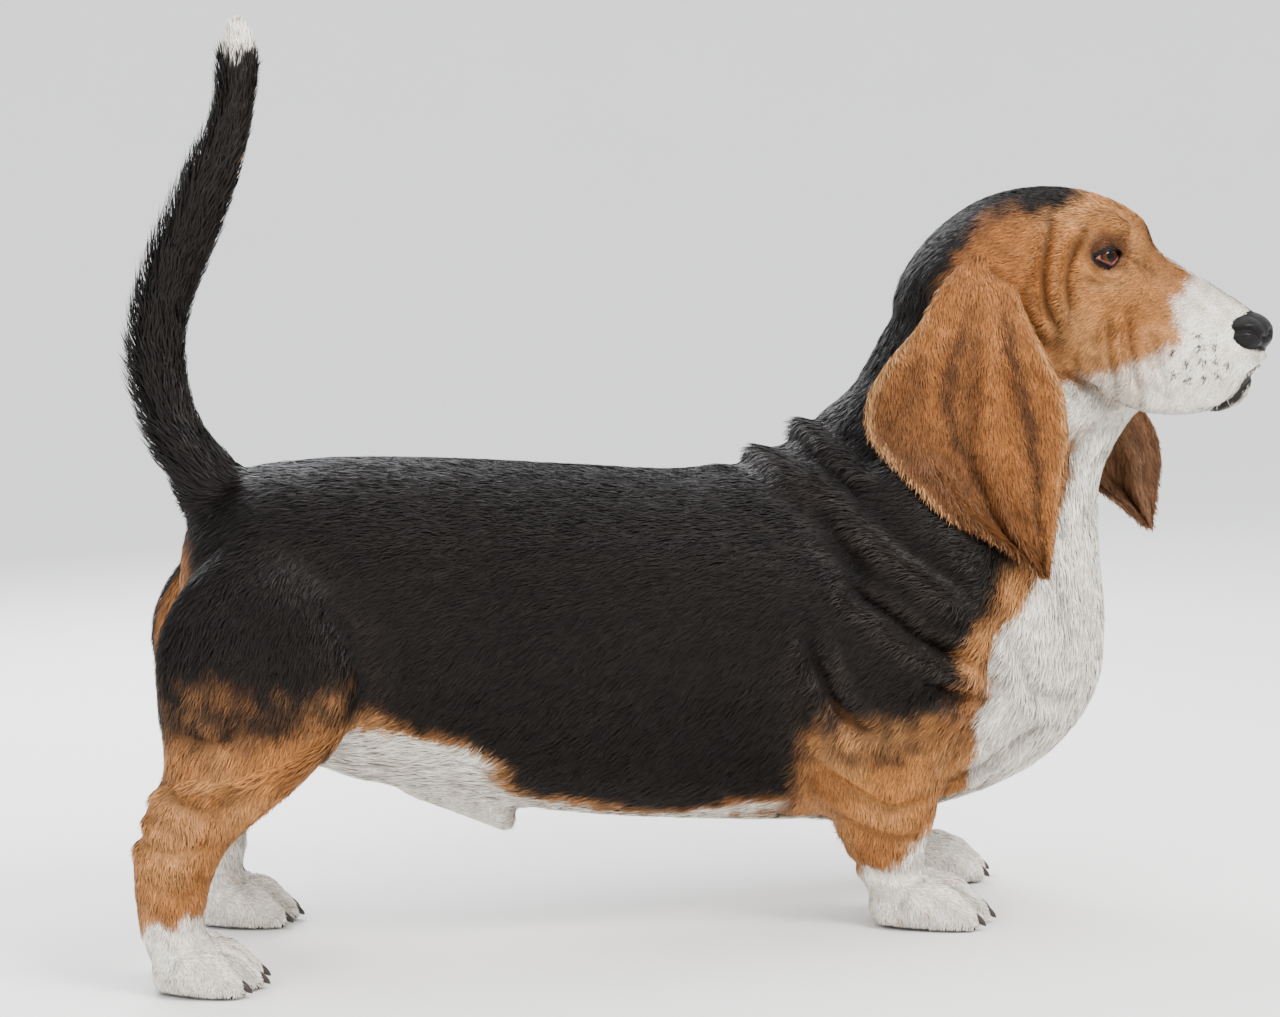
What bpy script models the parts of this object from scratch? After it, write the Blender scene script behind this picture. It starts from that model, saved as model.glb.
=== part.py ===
"""A basset hound standing with its tail up, life size, in metres: +X forward, +Y its left, +Z up.

The flesh is lofted from sections read across the side of the animal, fused into one skin, modelled
with folds, and then parted with thin cuts into the head, neck, torso, tail and the lengths of each leg.
"""

import math
from typing import NamedTuple

import bmesh
import bpy
import numpy as np
from mathutils import Matrix, Vector
from mathutils.bvhtree import BVHTree

# Driving dimensions of the animal, in metres.
EYE_RADIUS = 0.0115
EYE_TURN = math.radians(56.0)  # from straight ahead
LID = 0.0016
LID_HALF_LENGTH = 0.0112
SOCKET = 0.0045  # how deep the eyes lie in the face
EAR_THICKNESS = 0.0048
EAR_CLEARANCE = 0.0012
PAW_WIDTH = 0.080
TOE_GROOVE = 0.0050  # depth between the toes
HEAD_TURN = math.radians(-12.0)  # the head looks a little to the animal's right
HEAD_PIVOT = Vector((0.22, 0.0, 0.0))
MIDDLE_OF_LENGTH = 0.046  # from the middle of the back to the middle of the whole length

# How the solids are made.
GAP = 0.0004  # between nodes that touch
VOXEL = 0.0026
NOSE_VOXEL = 0.0010
HEAD_TRIANGLES = 3700
BODY_TRIANGLES = 5000
NOSE_TRIANGLES = 560
EAR_TRIANGLES = 640
EAR_GRID = (30, 24)  # points down and across an ear's middle surface
OUTSIDE = 0.4  # past either side of the animal
RING = 40  # points round a lofted section
RINGS_PER_SPAN = 6


class Section(NamedTuple):
    """One cross-section: its two ends in side view as (x, z), and its half-width across."""

    top: tuple
    bottom: tuple
    half_width: float
    middle: float = 0.0  # y of its centre
    egg: float = 0.0  # above 0, wider at the top
    power: float = 2.0  # above 2, squarer


def smooth_through(keys, per_span):
    """Points on a smooth curve through the rows of keys, with per_span steps to each span."""
    keys = np.asarray(keys, float)
    chord = np.linalg.norm(np.diff(keys[:, :4], axis=0), axis=1) + 1e-9
    at = np.concatenate([[0.0], np.cumsum(np.sqrt(chord))])
    slopes = np.gradient(keys, at, axis=0)
    out = []
    for i in range(len(keys) - 1):
        span = at[i + 1] - at[i]
        for t in np.arange(per_span) / per_span:
            out.append(
                (2 * t**3 - 3 * t**2 + 1) * keys[i]
                + (t**3 - 2 * t**2 + t) * span * slopes[i]
                + (3 * t**2 - 2 * t**3) * keys[i + 1]
                + (t**3 - t**2) * span * slopes[i + 1]
            )
    out.append(keys[-1])
    return np.array(out)


def ring_points(row, count):
    """The points round one section, from its row of numbers."""
    top, bottom = np.array([row[0], 0, row[1]]), np.array([row[2], 0, row[3]])
    half_width, middle, egg, power = row[4:8]
    turn = np.arange(count) * 2 * np.pi / count
    up, out = np.cos(turn), np.sin(turn)
    up = np.sign(up) * np.abs(up) ** (2 / power)
    out = np.sign(out) * np.abs(out) ** (2 / power)
    points = (top + bottom) / 2 + np.outer(up, (top - bottom) / 2)
    points[:, 1] = middle + half_width * (1 + egg * up) * out
    return points


def loft(into, sections, start_bulge=0.0, end_bulge=0.0, place=None, ring=RING, per_span=RINGS_PER_SPAN):
    """Adds to the bmesh a closed tube through the sections, its ends rounded out by the bulges."""
    rows = smooth_through(
        [(*s.top, *s.bottom, s.half_width, s.middle, s.egg, s.power) for s in sections],
        per_span,
    )
    rings = [ring_points(row, ring) for row in rows]

    def rounded(end, inner, bulge):
        centre = end.mean(axis=0)
        out = centre - inner.mean(axis=0)
        out /= np.linalg.norm(out) + 1e-9
        angles = np.radians((25, 45, 62, 76))
        return [centre + (end - centre) * math.cos(a) + out * bulge * math.sin(a) for a in angles]

    if start_bulge:
        rings = rounded(rings[0], rings[1], start_bulge)[::-1] + rings
    if end_bulge:
        rings = rings + rounded(rings[-1], rings[-2], end_bulge)
    matrix = place or Matrix.Identity(4)
    verts = [[into.verts.new(matrix @ Vector(p)) for p in points] for points in rings]
    faces = [into.faces.new(verts[0]), into.faces.new(verts[-1][::-1])]
    for a, b in zip(verts, verts[1:]):
        for i in range(ring):
            j = (i + 1) % ring
            faces.append(into.faces.new((a[i], b[i], b[j], a[j])))
    bmesh.ops.recalc_face_normals(into, faces=faces)


def ellipsoid(into, centre, radii, place=None):
    """Adds a closed ellipsoid to the bmesh."""
    matrix = (place or Matrix.Identity(4)) @ Matrix.Translation(centre) @ Matrix.Diagonal((*radii, 1))
    bmesh.ops.create_icosphere(into, subdivisions=3, radius=1.0, matrix=matrix)


def head_place():
    """From the head's own axes, with x forward from the pivot, to the model's."""
    return Matrix.Translation(HEAD_PIVOT) @ Matrix.Rotation(HEAD_TURN, 4, "Z")


# Flesh


def add_trunk(into):
    """Rump to throat in one length, its sections fanning round from the loin into the neck."""
    loft(
        into,
        [
            Section((-0.310, 0.328), (-0.325, 0.215), 0.066, egg=-0.05),
            Section((-0.285, 0.349), (-0.300, 0.165), 0.090, egg=0.0),
            Section((-0.225, 0.355), (-0.227, 0.126), 0.101, egg=0.02, power=2.1),
            Section((-0.138, 0.351), (-0.147, 0.105), 0.104, egg=0.04, power=2.15),
            Section((-0.051, 0.343), (-0.059, 0.088), 0.113, power=2.2),
            Section((0.038, 0.336), (0.035, 0.078), 0.123, egg=-0.02, power=2.2),
            Section((0.091, 0.345), (0.125, 0.072), 0.123, egg=-0.05, power=2.1),
            Section((0.126, 0.366), (0.215, 0.076), 0.115, egg=-0.08),
            Section((0.149, 0.380), (0.296, 0.104), 0.102, egg=-0.06),
            Section((0.166, 0.395), (0.341, 0.153), 0.090, egg=-0.02),
            Section((0.177, 0.412), (0.350, 0.208), 0.082, egg=0.04),
            Section((0.187, 0.430), (0.347, 0.263), 0.074, -0.002, egg=0.10),
            Section((0.197, 0.448), (0.349, 0.314), 0.066, -0.006, egg=0.16),
            Section((0.215, 0.474), (0.368, 0.352), 0.058, -0.012, egg=0.20),
            Section((0.245, 0.492), (0.385, 0.376), 0.046, -0.020, egg=0.15),
        ],
        start_bulge=0.020,
        end_bulge=0.020,
    )


def add_sheath(into):
    """The fold of skin under a male's belly."""
    loft(
        into,
        [
            Section((-0.180, 0.122), (-0.178, 0.104), 0.009),
            Section((-0.144, 0.112), (-0.142, 0.089), 0.013),
            Section((-0.110, 0.102), (-0.108, 0.0735), 0.014),
        ],
        start_bulge=0.008,
        end_bulge=0.012,
    )


def add_foreleg(into, side, forward, across):
    """Shoulder to wrist, short and crooked inwards at the wrist. side is 1 on the animal's left."""

    def leg(front, rear, half_width, out, inward, share):
        """A section, out from the middle or, by the inward share, over the paw; share moves with the paw."""
        middle = out * side * (1 - inward) + across * inward
        move = forward * share
        return Section((front[0] + move, front[1]), (rear[0] + move, rear[1]), half_width, middle)

    loft(
        into,
        [
            leg((0.206, 0.338), (0.132, 0.324), 0.018, 0.074, 0.0, 0.0),
            leg((0.246, 0.282), (0.114, 0.270), 0.031, 0.086, 0.0, 0.0),
            leg((0.246, 0.215), (0.103, 0.200), 0.039, 0.090, 0.0, 0.1),
            leg((0.222, 0.160), (0.104, 0.150), 0.040, 0.090, 0.1, 0.3),
            leg((0.203, 0.115), (0.110, 0.112), 0.036, 0.090, 0.5, 0.6),
            leg((0.199, 0.080), (0.122, 0.078), 0.031, 0.090, 0.8, 0.9),
            leg((0.191, 0.054), (0.134, 0.052), 0.0285, 0.0, 1.0, 1.0),
            leg((0.193, 0.036), (0.144, 0.033), 0.028, 0.0, 1.0, 1.0),
            leg((0.200, 0.020), (0.152, 0.016), 0.026, 0.0, 1.0, 1.0),
        ],
        start_bulge=0.010,
        end_bulge=0.006,
    )


def add_hindleg(into, side, forward, across):
    """Haunch, stifle, hock and upright rear pastern."""

    def leg(front, rear, half_width, out, outward, share):
        """A section, out from the middle or, by the outward share, over the paw; share moves with the paw."""
        middle = out * side * (1 - outward) + across * outward
        move = forward * share
        return Section((front[0] + move, front[1]), (rear[0] + move, rear[1]), half_width, middle)

    loft(
        into,
        [
            leg((-0.228, 0.302), (-0.300, 0.304), 0.018, 0.066, 0.0, 0.0),
            leg((-0.202, 0.258), (-0.332, 0.280), 0.033, 0.076, 0.0, 0.0),
            leg((-0.198, 0.215), (-0.355, 0.240), 0.041, 0.078, 0.1, 0.0),
            leg((-0.222, 0.170), (-0.357, 0.195), 0.042, 0.078, 0.4, 0.1),
            leg((-0.258, 0.136), (-0.353, 0.155), 0.036, 0.078, 0.6, 0.4),
            leg((-0.292, 0.110), (-0.363, 0.128), 0.030, 0.078, 0.8, 0.8),
            leg((-0.310, 0.092), (-0.374, 0.100), 0.028, 0.0, 1.0, 1.0),
            leg((-0.322, 0.066), (-0.374, 0.070), 0.0265, 0.0, 1.0, 1.0),
            leg((-0.326, 0.044), (-0.371, 0.042), 0.0265, 0.0, 1.0, 1.0),
            leg((-0.320, 0.024), (-0.364, 0.018), 0.026, 0.0, 1.0, 1.0),
        ],
        start_bulge=0.010,
        end_bulge=0.006,
    )


class Paw(NamedTuple):
    """Where a paw stands: its heel's x, its middle's y, how far it turns out, and its length."""

    heel: float
    across: float
    turn_out: float
    length: float
    height: float


def paw_place(paw):
    """From the paw's own axes, heel at the origin and toes along x, to the model's."""
    turn = math.copysign(paw.turn_out, paw.across)
    return Matrix.Translation((paw.heel, paw.across, 0)) @ Matrix.Rotation(turn, 4, "Z")


TOES = ((-1.5, -10.0, -0.011), (-0.5, -3.0, 0.0), (0.5, 3.0, 0.0), (1.5, 10.0, -0.011))


def toe_place(paw, step, splay, back):
    """From a toe's own axes, with its knuckle's root at the origin, to the model's."""
    pitch = PAW_WIDTH * 0.235
    root = Matrix.Translation((paw.length * 0.42 + back, step * pitch, 0))
    return paw_place(paw) @ root @ Matrix.Rotation(math.radians(splay), 4, "Z")


def add_paw(into, paw):
    """A broad paw: heel and four arched toes over a pad, its sole a little under the floor."""
    long, high = paw.length, paw.height
    loft(
        into,
        [
            Section((0.004, high * 0.80), (0.006, 0.000), PAW_WIDTH * 0.30, egg=-0.12, power=2.3),
            Section((long * 0.26, high * 1.02), (long * 0.26, -0.002), PAW_WIDTH * 0.42, egg=-0.2, power=2.4),
            Section((long * 0.50, high * 0.94), (long * 0.50, -0.002), PAW_WIDTH * 0.44, egg=-0.2, power=2.4),
            Section((long * 0.70, high * 0.62), (long * 0.70, 0.000), PAW_WIDTH * 0.36, egg=-0.1, power=2.3),
        ],
        start_bulge=0.010,
        end_bulge=0.008,
        place=paw_place(paw),
    )
    toe_long = long * 0.56
    for step, splay, back in TOES:
        thick = PAW_WIDTH * (0.136 if abs(step) < 1 else 0.130)
        loft(
            into,
            [
                Section((0.000, high * 0.92), (0.000, 0.004), thick * 0.9),
                Section((toe_long * 0.36, high * 1.00), (toe_long * 0.34, 0.000), thick),
                Section((toe_long * 0.68, high * 0.86), (toe_long * 0.66, -0.002), thick * 1.04),
                Section((toe_long * 0.90, high * 0.58), (toe_long * 0.92, -0.001), thick * 0.92),
            ],
            start_bulge=0.006,
            end_bulge=0.009,
            place=toe_place(paw, step, splay, back),
        )


def add_tail(into):
    """A sabre tail, thick with hair down its back edge."""
    loft(
        into,
        [
            Section((-0.262, 0.330), (-0.312, 0.296), 0.028),
            Section((-0.285, 0.352), (-0.334, 0.325), 0.025),
            Section((-0.307, 0.375), (-0.353, 0.361), 0.021),
            Section((-0.319, 0.402), (-0.364, 0.394), 0.019),
            Section((-0.322, 0.436), (-0.369, 0.430), 0.018),
            Section((-0.317, 0.463), (-0.364, 0.468), 0.017),
            Section((-0.308, 0.486), (-0.354, 0.500), 0.0165),
            Section((-0.296, 0.513), (-0.341, 0.529), 0.016),
            Section((-0.280, 0.555), (-0.324, 0.564), 0.015),
            Section((-0.268, 0.600), (-0.304, 0.600), 0.0130),
            Section((-0.262, 0.632), (-0.296, 0.630), 0.0110),
            Section((-0.265, 0.654), (-0.290, 0.655), 0.0080),
        ],
        start_bulge=0.010,
        end_bulge=0.016,
    )


def add_head(into):
    """Domed skull, deep square muzzle, hanging flews and the lower jaw between them."""
    place = head_place()
    loft(
        into,
        [
            Section((-0.022, 0.462), (0.012, 0.398), 0.040),
            Section((-0.014, 0.479), (0.030, 0.388), 0.051, egg=-0.05),
            Section((0.008, 0.504), (0.048, 0.384), 0.059, egg=-0.02),
            Section((0.045, 0.527), (0.072, 0.384), 0.063, egg=-0.04, power=2.1),
            Section((0.090, 0.534), (0.098, 0.386), 0.062, egg=-0.04, power=2.15),
            Section((0.130, 0.5265), (0.122, 0.388), 0.055, egg=0.0, power=2.2),
            Section((0.1595, 0.5085), (0.140, 0.388), 0.0445, egg=0.06, power=2.3),
            Section((0.1690, 0.4875), (0.156, 0.385), 0.0365, egg=0.02, power=2.5),
            Section((0.199, 0.466), (0.188, 0.378), 0.0335, egg=-0.14, power=2.6),
            Section((0.226, 0.448), (0.218, 0.380), 0.0258, egg=-0.28, power=2.5),
            Section((0.240, 0.438), (0.236, 0.394), 0.0190, egg=-0.22, power=2.3),
        ],
        start_bulge=0.010,
        end_bulge=0.008,
        place=place,
    )
    loft(
        into,
        [
            Section((0.060, 0.420), (0.066, 0.384), 0.030),
            Section((0.120, 0.412), (0.124, 0.380), 0.027),
            Section((0.180, 0.400), (0.182, 0.369), 0.022),
            Section((0.217, 0.394), (0.215, 0.3630), 0.0185),
            Section((0.2335, 0.397), (0.2285, 0.3680), 0.0140),
        ],
        start_bulge=0.010,
        end_bulge=0.008,
        place=place,
    )
    for side in (1, -1):
        loft(
            into,
            [
                Section((0.106, 0.430), (0.112, 0.392), 0.012, 0.037 * side),
                Section((0.134, 0.432), (0.138, 0.374), 0.012, 0.038 * side),
                Section((0.166, 0.428), (0.168, 0.364), 0.0105, 0.035 * side),
                Section((0.200, 0.420), (0.200, 0.3645), 0.010, 0.031 * side),
                Section((0.222, 0.413), (0.221, 0.3740), 0.0095, 0.0235 * side),
                Section((0.235, 0.411), (0.235, 0.3885), 0.0085, 0.0155 * side),
                Section((0.2465, 0.411), (0.2450, 0.3960), 0.0070, 0.0070 * side),
            ],
            start_bulge=0.008,
            end_bulge=0.005,
            place=place,
        )
        ellipsoid(into, (0.131, 0.036 * side, 0.494), (0.019, 0.013, 0.011), place)
        ellipsoid(into, (0.062, 0.052 * side, 0.470), (0.026, 0.014, 0.020), place)


# Sculpting the fused skin


class Skin:
    """A dense mesh as arrays, so that its points can be moved by formulas."""

    def __init__(self, mesh):
        count = len(mesh.vertices)
        self.mesh = mesh
        self.co = np.empty(count * 3)
        mesh.vertices.foreach_get("co", self.co)
        self.co = self.co.reshape(-1, 3)
        edges = np.empty(len(mesh.edges) * 2, np.int64)
        mesh.edges.foreach_get("vertices", edges)
        edges = edges.reshape(-1, 2)
        self.ends = np.concatenate([edges, edges[:, ::-1]])
        self.degree = np.bincount(self.ends[:, 0], minlength=count).astype(float)

    def write(self):
        self.mesh.vertices.foreach_set("co", self.co.astype(np.float32).ravel())
        self.mesh.update()

    def normals(self):
        self.write()
        out = np.empty(len(self.co) * 3, np.float32)
        self.mesh.vertex_normals.foreach_get("vector", out)
        return out.reshape(-1, 3).astype(float)

    def push(self, distance):
        """Moves every point along its normal by its own distance."""
        self.co += self.normals() * distance[:, None]

    def smooth(self, rounds, weight=1.0):
        """Evens the surface, by weight at each point."""
        weight = np.broadcast_to(weight, len(self.co))[:, None] * 0.5
        mean = np.empty_like(self.co)
        for _ in range(rounds):
            for axis in range(3):
                mean[:, axis] = np.bincount(
                    self.ends[:, 0], self.co[self.ends[:, 1], axis], minlength=len(self.co)
                )
            self.co += (mean / self.degree[:, None] - self.co) * weight


def ramp(value, low, high):
    """0 below low, 1 above high, and smooth between."""
    t = np.clip((value - low) / (high - low), 0, 1)
    return t * t * (3 - 2 * t)


def distance_to_path(points, path):
    """Distance from 2-D points to a path, and how far along it, from 0 to 1, the nearest place is."""
    path = np.asarray(path, float)
    lengths = np.linalg.norm(np.diff(path, axis=0), axis=1)
    starts = np.concatenate([[0], np.cumsum(lengths)])
    best, along = np.full(len(points), 1e9), np.zeros(len(points))
    for i, length in enumerate(lengths):
        way = (path[i + 1] - path[i]) / length
        t = np.clip((points - path[i]) @ way, 0, length)
        off = np.linalg.norm(points - path[i] - t[:, None] * way, axis=1)
        nearer = off < best
        best[nearer] = off[nearer]
        along[nearer] = (starts[i] + t[nearer]) / starts[-1]
    return best, along


def fold(flat, path, height, width):
    """Lift of a fold along a path on flat coordinates: a ridge with a furrow each side, or inside out."""
    curve = smooth_through(np.hstack([path, path]), 5)[:, :2]
    off, along = distance_to_path(flat, curve)
    ends = ramp(along, 0.0, 0.22) * (1 - ramp(along, 0.78, 1.0))
    side_furrow = np.exp(-(((off - 1.8 * width) / width) ** 2))
    return height * ends * (np.exp(-((off / width) ** 2)) - 0.4 * side_furrow)


# Folds of the body in side view: path of (x, z), height or depth, width.
BODY_FOLDS = (
    (((0.115, 0.385), (0.123, 0.368), (0.132, 0.352), (0.147, 0.331), (0.158, 0.318)), 0.0054, 0.007),
    (((0.074, 0.372), (0.084, 0.358), (0.100, 0.334), (0.122, 0.318), (0.142, 0.302)), 0.0058, 0.009),
    (
        ((0.117, 0.312), (0.140, 0.290), (0.160, 0.269), (0.180, 0.253), (0.198, 0.238), (0.218, 0.226)),
        0.0088,
        0.010,
    ),
    (
        ((0.128, 0.270), (0.134, 0.251), (0.155, 0.235), (0.176, 0.217), (0.206, 0.203), (0.226, 0.198)),
        -0.0078,
        0.007,
    ),
    (((0.176, 0.202), (0.191, 0.192), (0.205, 0.186), (0.226, 0.186)), 0.0042, 0.007),
    (((0.182, 0.186), (0.195, 0.179), (0.212, 0.173), (0.234, 0.172)), -0.0055, 0.006),
    (
        ((0.102, 0.222), (0.104, 0.207), (0.111, 0.184), (0.122, 0.166), (0.134, 0.157), (0.152, 0.156)),
        -0.0072,
        0.006,
    ),
    (((0.100, 0.240), (0.097, 0.205), (0.096, 0.173), (0.098, 0.140), (0.104, 0.110)), -0.0030, 0.007),
    (
        ((0.252, 0.236), (0.240, 0.212), (0.237, 0.188), (0.241, 0.168), (0.227, 0.153), (0.210, 0.126)),
        -0.0050,
        0.007,
    ),
    (((0.246, 0.222), (0.264, 0.189), (0.272, 0.170), (0.286, 0.165), (0.306, 0.166)), -0.0035, 0.007),
    (((0.205, 0.108), (0.232, 0.110), (0.259, 0.125), (0.285, 0.146)), -0.0025, 0.007),
    (((0.350, 0.356), (0.330, 0.340), (0.320, 0.315), (0.317, 0.290)), 0.0030, 0.006),
    (((0.336, 0.362), (0.314, 0.342), (0.303, 0.312), (0.300, 0.285)), -0.0025, 0.006),
    (((0.288, 0.260), (0.294, 0.241), (0.303, 0.215)), -0.0025, 0.007),
    (((-0.346, 0.186), (-0.331, 0.177), (-0.313, 0.175), (-0.300, 0.190)), -0.0040, 0.007),
    (((-0.356, 0.153), (-0.343, 0.133), (-0.321, 0.127), (-0.298, 0.140)), -0.0045, 0.007),
    (((-0.245, 0.270), (-0.222, 0.235), (-0.214, 0.205), (-0.222, 0.180), (-0.242, 0.158)), -0.0030, 0.009),
)
# Folds of the lower legs, for paws whose heels stand at FORE_HEEL and HIND_HEEL.
LEG_FOLDS = (
    (
        ((0.100, 0.140), (0.111, 0.119), (0.131, 0.105), (0.149, 0.094), (0.161, 0.092), (0.190, 0.100)),
        -0.0056,
        0.006,
    ),
    (((0.116, 0.088), (0.135, 0.080), (0.149, 0.076), (0.164, 0.069), (0.190, 0.066)), -0.0034, 0.005),
    (((0.126, 0.052), (0.141, 0.046), (0.158, 0.042), (0.176, 0.042), (0.192, 0.046)), -0.0022, 0.004),
    (((-0.380, 0.122), (-0.362, 0.104), (-0.342, 0.100), (-0.318, 0.106)), -0.0032, 0.005),
    (((-0.374, 0.084), (-0.356, 0.075), (-0.338, 0.070), (-0.322, 0.074)), -0.0024, 0.005),
    (((-0.372, 0.054), (-0.354, 0.046), (-0.336, 0.044), (-0.322, 0.048)), -0.0018, 0.004),
)
# Folds of the head in side view, in the head's own axes.
HEAD_FOLDS = (
    (((0.094, 0.516), (0.086, 0.494), (0.082, 0.471), (0.084, 0.448), (0.096, 0.422)), -0.0046, 0.0045),
    (((0.116, 0.503), (0.104, 0.486), (0.099, 0.464), (0.101, 0.436)), -0.0042, 0.0042),
    (((0.134, 0.486), (0.149, 0.477), (0.166, 0.468)), -0.0018, 0.0035),
    (((0.110, 0.466), (0.124, 0.460), (0.142, 0.462)), -0.0020, 0.0035),
    (((0.092, 0.400), (0.107, 0.391), (0.122, 0.384)), -0.0028, 0.0040),
    (((0.131, 0.442), (0.129, 0.420), (0.131, 0.398), (0.137, 0.380)), -0.0026, 0.0034),
    (((0.146, 0.442), (0.145, 0.418), (0.148, 0.394), (0.155, 0.374)), -0.0026, 0.0034),
    (((0.163, 0.424), (0.166, 0.400), (0.173, 0.380)), -0.0020, 0.0030),
    (((0.116, 0.508), (0.134, 0.508), (0.150, 0.497)), 0.0034, 0.0045),
)
# The front of the mouth's edge in side view, in the head's own axes.
MOUTH = ((0.199, 0.3665), (0.213, 0.370), (0.224, 0.379), (0.233, 0.392), (0.250, 0.401))


def model_folds(skin, on_head):
    x, y, z = skin.co.T
    lift = np.zeros(len(x))
    flat = np.stack([x, z], axis=1)
    for path, height, width in BODY_FOLDS:
        lift += fold(flat, path, height, width) * (1 - on_head)
    for name, paw in PAWS.items():
        heel = FORE_HEEL if name.startswith("fore") else HIND_HEEL
        mine = (y * paw.across > 0) & (np.abs(x - paw.heel - 0.03) < 0.1) & (z < 0.14)
        moved = flat[mine] - [paw.heel - heel, 0]
        for path, height, width in LEG_FOLDS:
            lift[mine] += fold(moved, path, height, width)
        lift[mine] -= toe_grooves(skin.co[mine], paw)
    skin.push(lift)


def toe_grooves(co, paw):
    """Depth of the grooves between a paw's toes."""
    inverse = np.array(paw_place(paw).inverted())
    ahead, across, height = (co @ inverse[:3, :3].T + inverse[:3, 3]).T
    pitch = PAW_WIDTH * 0.235 * (1 + 0.18 * ahead / paw.length)
    off = np.min([np.abs(across - between * pitch) for between in (-1, 0, 1)], axis=0)
    over_toes = ramp(ahead, paw.length * 0.32, paw.length * 0.55) * ramp(height, 0.003, 0.010)
    return TOE_GROOVE * np.exp(-((off / 0.0024) ** 2)) * over_toes


def eye_axes(side):
    """An eye's centre, and the directions it looks, to its front corner, and up, in the head's axes."""
    looks = Vector((math.cos(EYE_TURN), math.sin(EYE_TURN) * side, 0.05)).normalized()
    up = (Vector((0, 0, 1)) - looks * looks.z).normalized()
    front = looks.cross(up) * side
    surface = Vector((0.131, 0.0505 * side, 0.481))
    return surface - looks * (EYE_RADIUS - 0.0005), looks, front, up


def model_eye(skin, side):
    """Sinks a socket, stands the lids over the eyeball, and opens them on it."""
    centre, looks, front, up = eye_axes(side)
    place = np.array(head_place())[:3, :3]
    local = in_head_axes(skin.co) - np.array(centre)
    near = (np.linalg.norm(local, axis=1) < 0.034) & (local @ np.array(looks) > -0.012)
    local = local[near]
    out, ahead, rise = local @ np.array(looks), local @ np.array(front), local @ np.array(up)
    away = np.hypot(ahead, rise)
    lid = EYE_RADIUS + LID
    sunk = out - SOCKET * np.exp(-((away / 0.016) ** 2))
    over = np.sqrt(np.maximum(lid**2 - away**2, 0))
    new = np.where(away < lid, np.maximum(sunk, over), sunk)
    reach = np.clip(1 - np.abs(ahead) / LID_HALF_LENGTH, 0, 1)
    upper = 0.0048 * np.sqrt(reach * (2 - reach))
    lower = -0.0072 * reach**0.8
    middle = ahead * 0.12
    opened = (rise - middle < upper) & (rise - middle > lower) & (reach > 0)
    behind = np.sqrt(np.maximum((EYE_RADIUS - 0.0022) ** 2 - away**2, 0))
    new[opened] = behind[opened]
    bag = np.exp(-(((away - 0.0145) / 0.0022) ** 2)) * ramp(-rise, 0.001, 0.008)
    new += 0.0018 * bag
    skin.co[near] += ((new - out)[:, None] * np.array(looks)) @ place.T


def model_head(skin, on_head):
    """The folds, brows, lids, flews and nose bridge of the head."""
    head = in_head_axes(skin.co)
    ahead, across, height = head.T
    lift = np.zeros(len(head))
    flat = head[:, [0, 2]]
    for path, depth, width in HEAD_FOLDS:
        lift += fold(flat, path, depth, width)
    lift *= ramp(np.abs(across), 0.010, 0.024)
    mouth, _ = distance_to_path(flat, MOUTH)
    lift -= 0.0022 * np.exp(-((mouth / 0.0016) ** 2)) * ramp(ahead, 0.197, 0.212)
    top = ramp(height, 0.44, 0.47)
    crown = np.exp(-((across / 0.005) ** 2)) * ramp(ahead, 0.085, 0.12) * (1 - ramp(ahead, 0.165, 0.185))
    lift -= 0.0018 * crown * top
    front = np.exp(-((across / 0.0022) ** 2)) * ramp(ahead, 0.225, 0.24) * (1 - ramp(height, 0.405, 0.415))
    lift -= 0.0030 * front * ramp(height, 0.378, 0.390)
    skin.push(lift * on_head)


def sculpt(skin):
    """Blends the joins of the flesh, then models its folds, the head and the lids."""
    x, y, z = skin.co.T
    head = in_head_axes(skin.co)
    on_head = ramp(head[:, 0] + (z - 0.42) * 0.6, 0.02, 0.07) * ramp(z, 0.345, 0.365)
    low = 1 - ramp(z, 0.045, 0.075)
    skin.smooth(3)
    skin.smooth(26, np.clip(1 - on_head - low, 0, 1))
    skin.smooth(5, on_head)
    model_folds(skin, on_head)
    model_head(skin, on_head)
    skin.smooth(2)
    for side in (1, -1):
        model_eye(skin, side)
    skin.write()
    return on_head


# Ears


# Stations down an ear in side view, in the head's axes: front edge, back edge, distance out from the middle.
EAR_STATIONS = (
    ((0.058, 0.483), (0.030, 0.486), 0.054),
    ((0.063, 0.452), (0.008, 0.464), 0.068),
    ((0.076, 0.420), (-0.012, 0.434), 0.078),
    ((0.089, 0.392), (-0.034, 0.410), 0.083),
    ((0.093, 0.362), (-0.049, 0.384), 0.085),
    ((0.090, 0.335), (-0.048, 0.360), 0.085),
    ((0.086, 0.308), (-0.025, 0.333), 0.085),
    ((0.082, 0.280), (0.006, 0.302), 0.084),
    ((0.079, 0.263), (0.044, 0.279), 0.083),
    ((0.078, 0.255), (0.068, 0.258), 0.082),
)
# Lengthwise folds of an ear: place from front edge 0 to back edge 1, height out, width.
EAR_FOLDS = (
    (0.06, 0.0035, 0.06),
    (0.20, -0.0070, 0.07),
    (0.38, 0.0075, 0.10),
    (0.58, -0.0045, 0.09),
    (0.78, 0.0055, 0.10),
)


class Ear(NamedTuple):
    """One ear: its side, and how far forward and up its lower half is carried, over the cheek."""

    side: int
    forward: float
    rise: float


EARS = {"ear_right": Ear(-1, 0.0, 0.0), "ear_left": Ear(1, 0.097, 0.018)}


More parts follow.
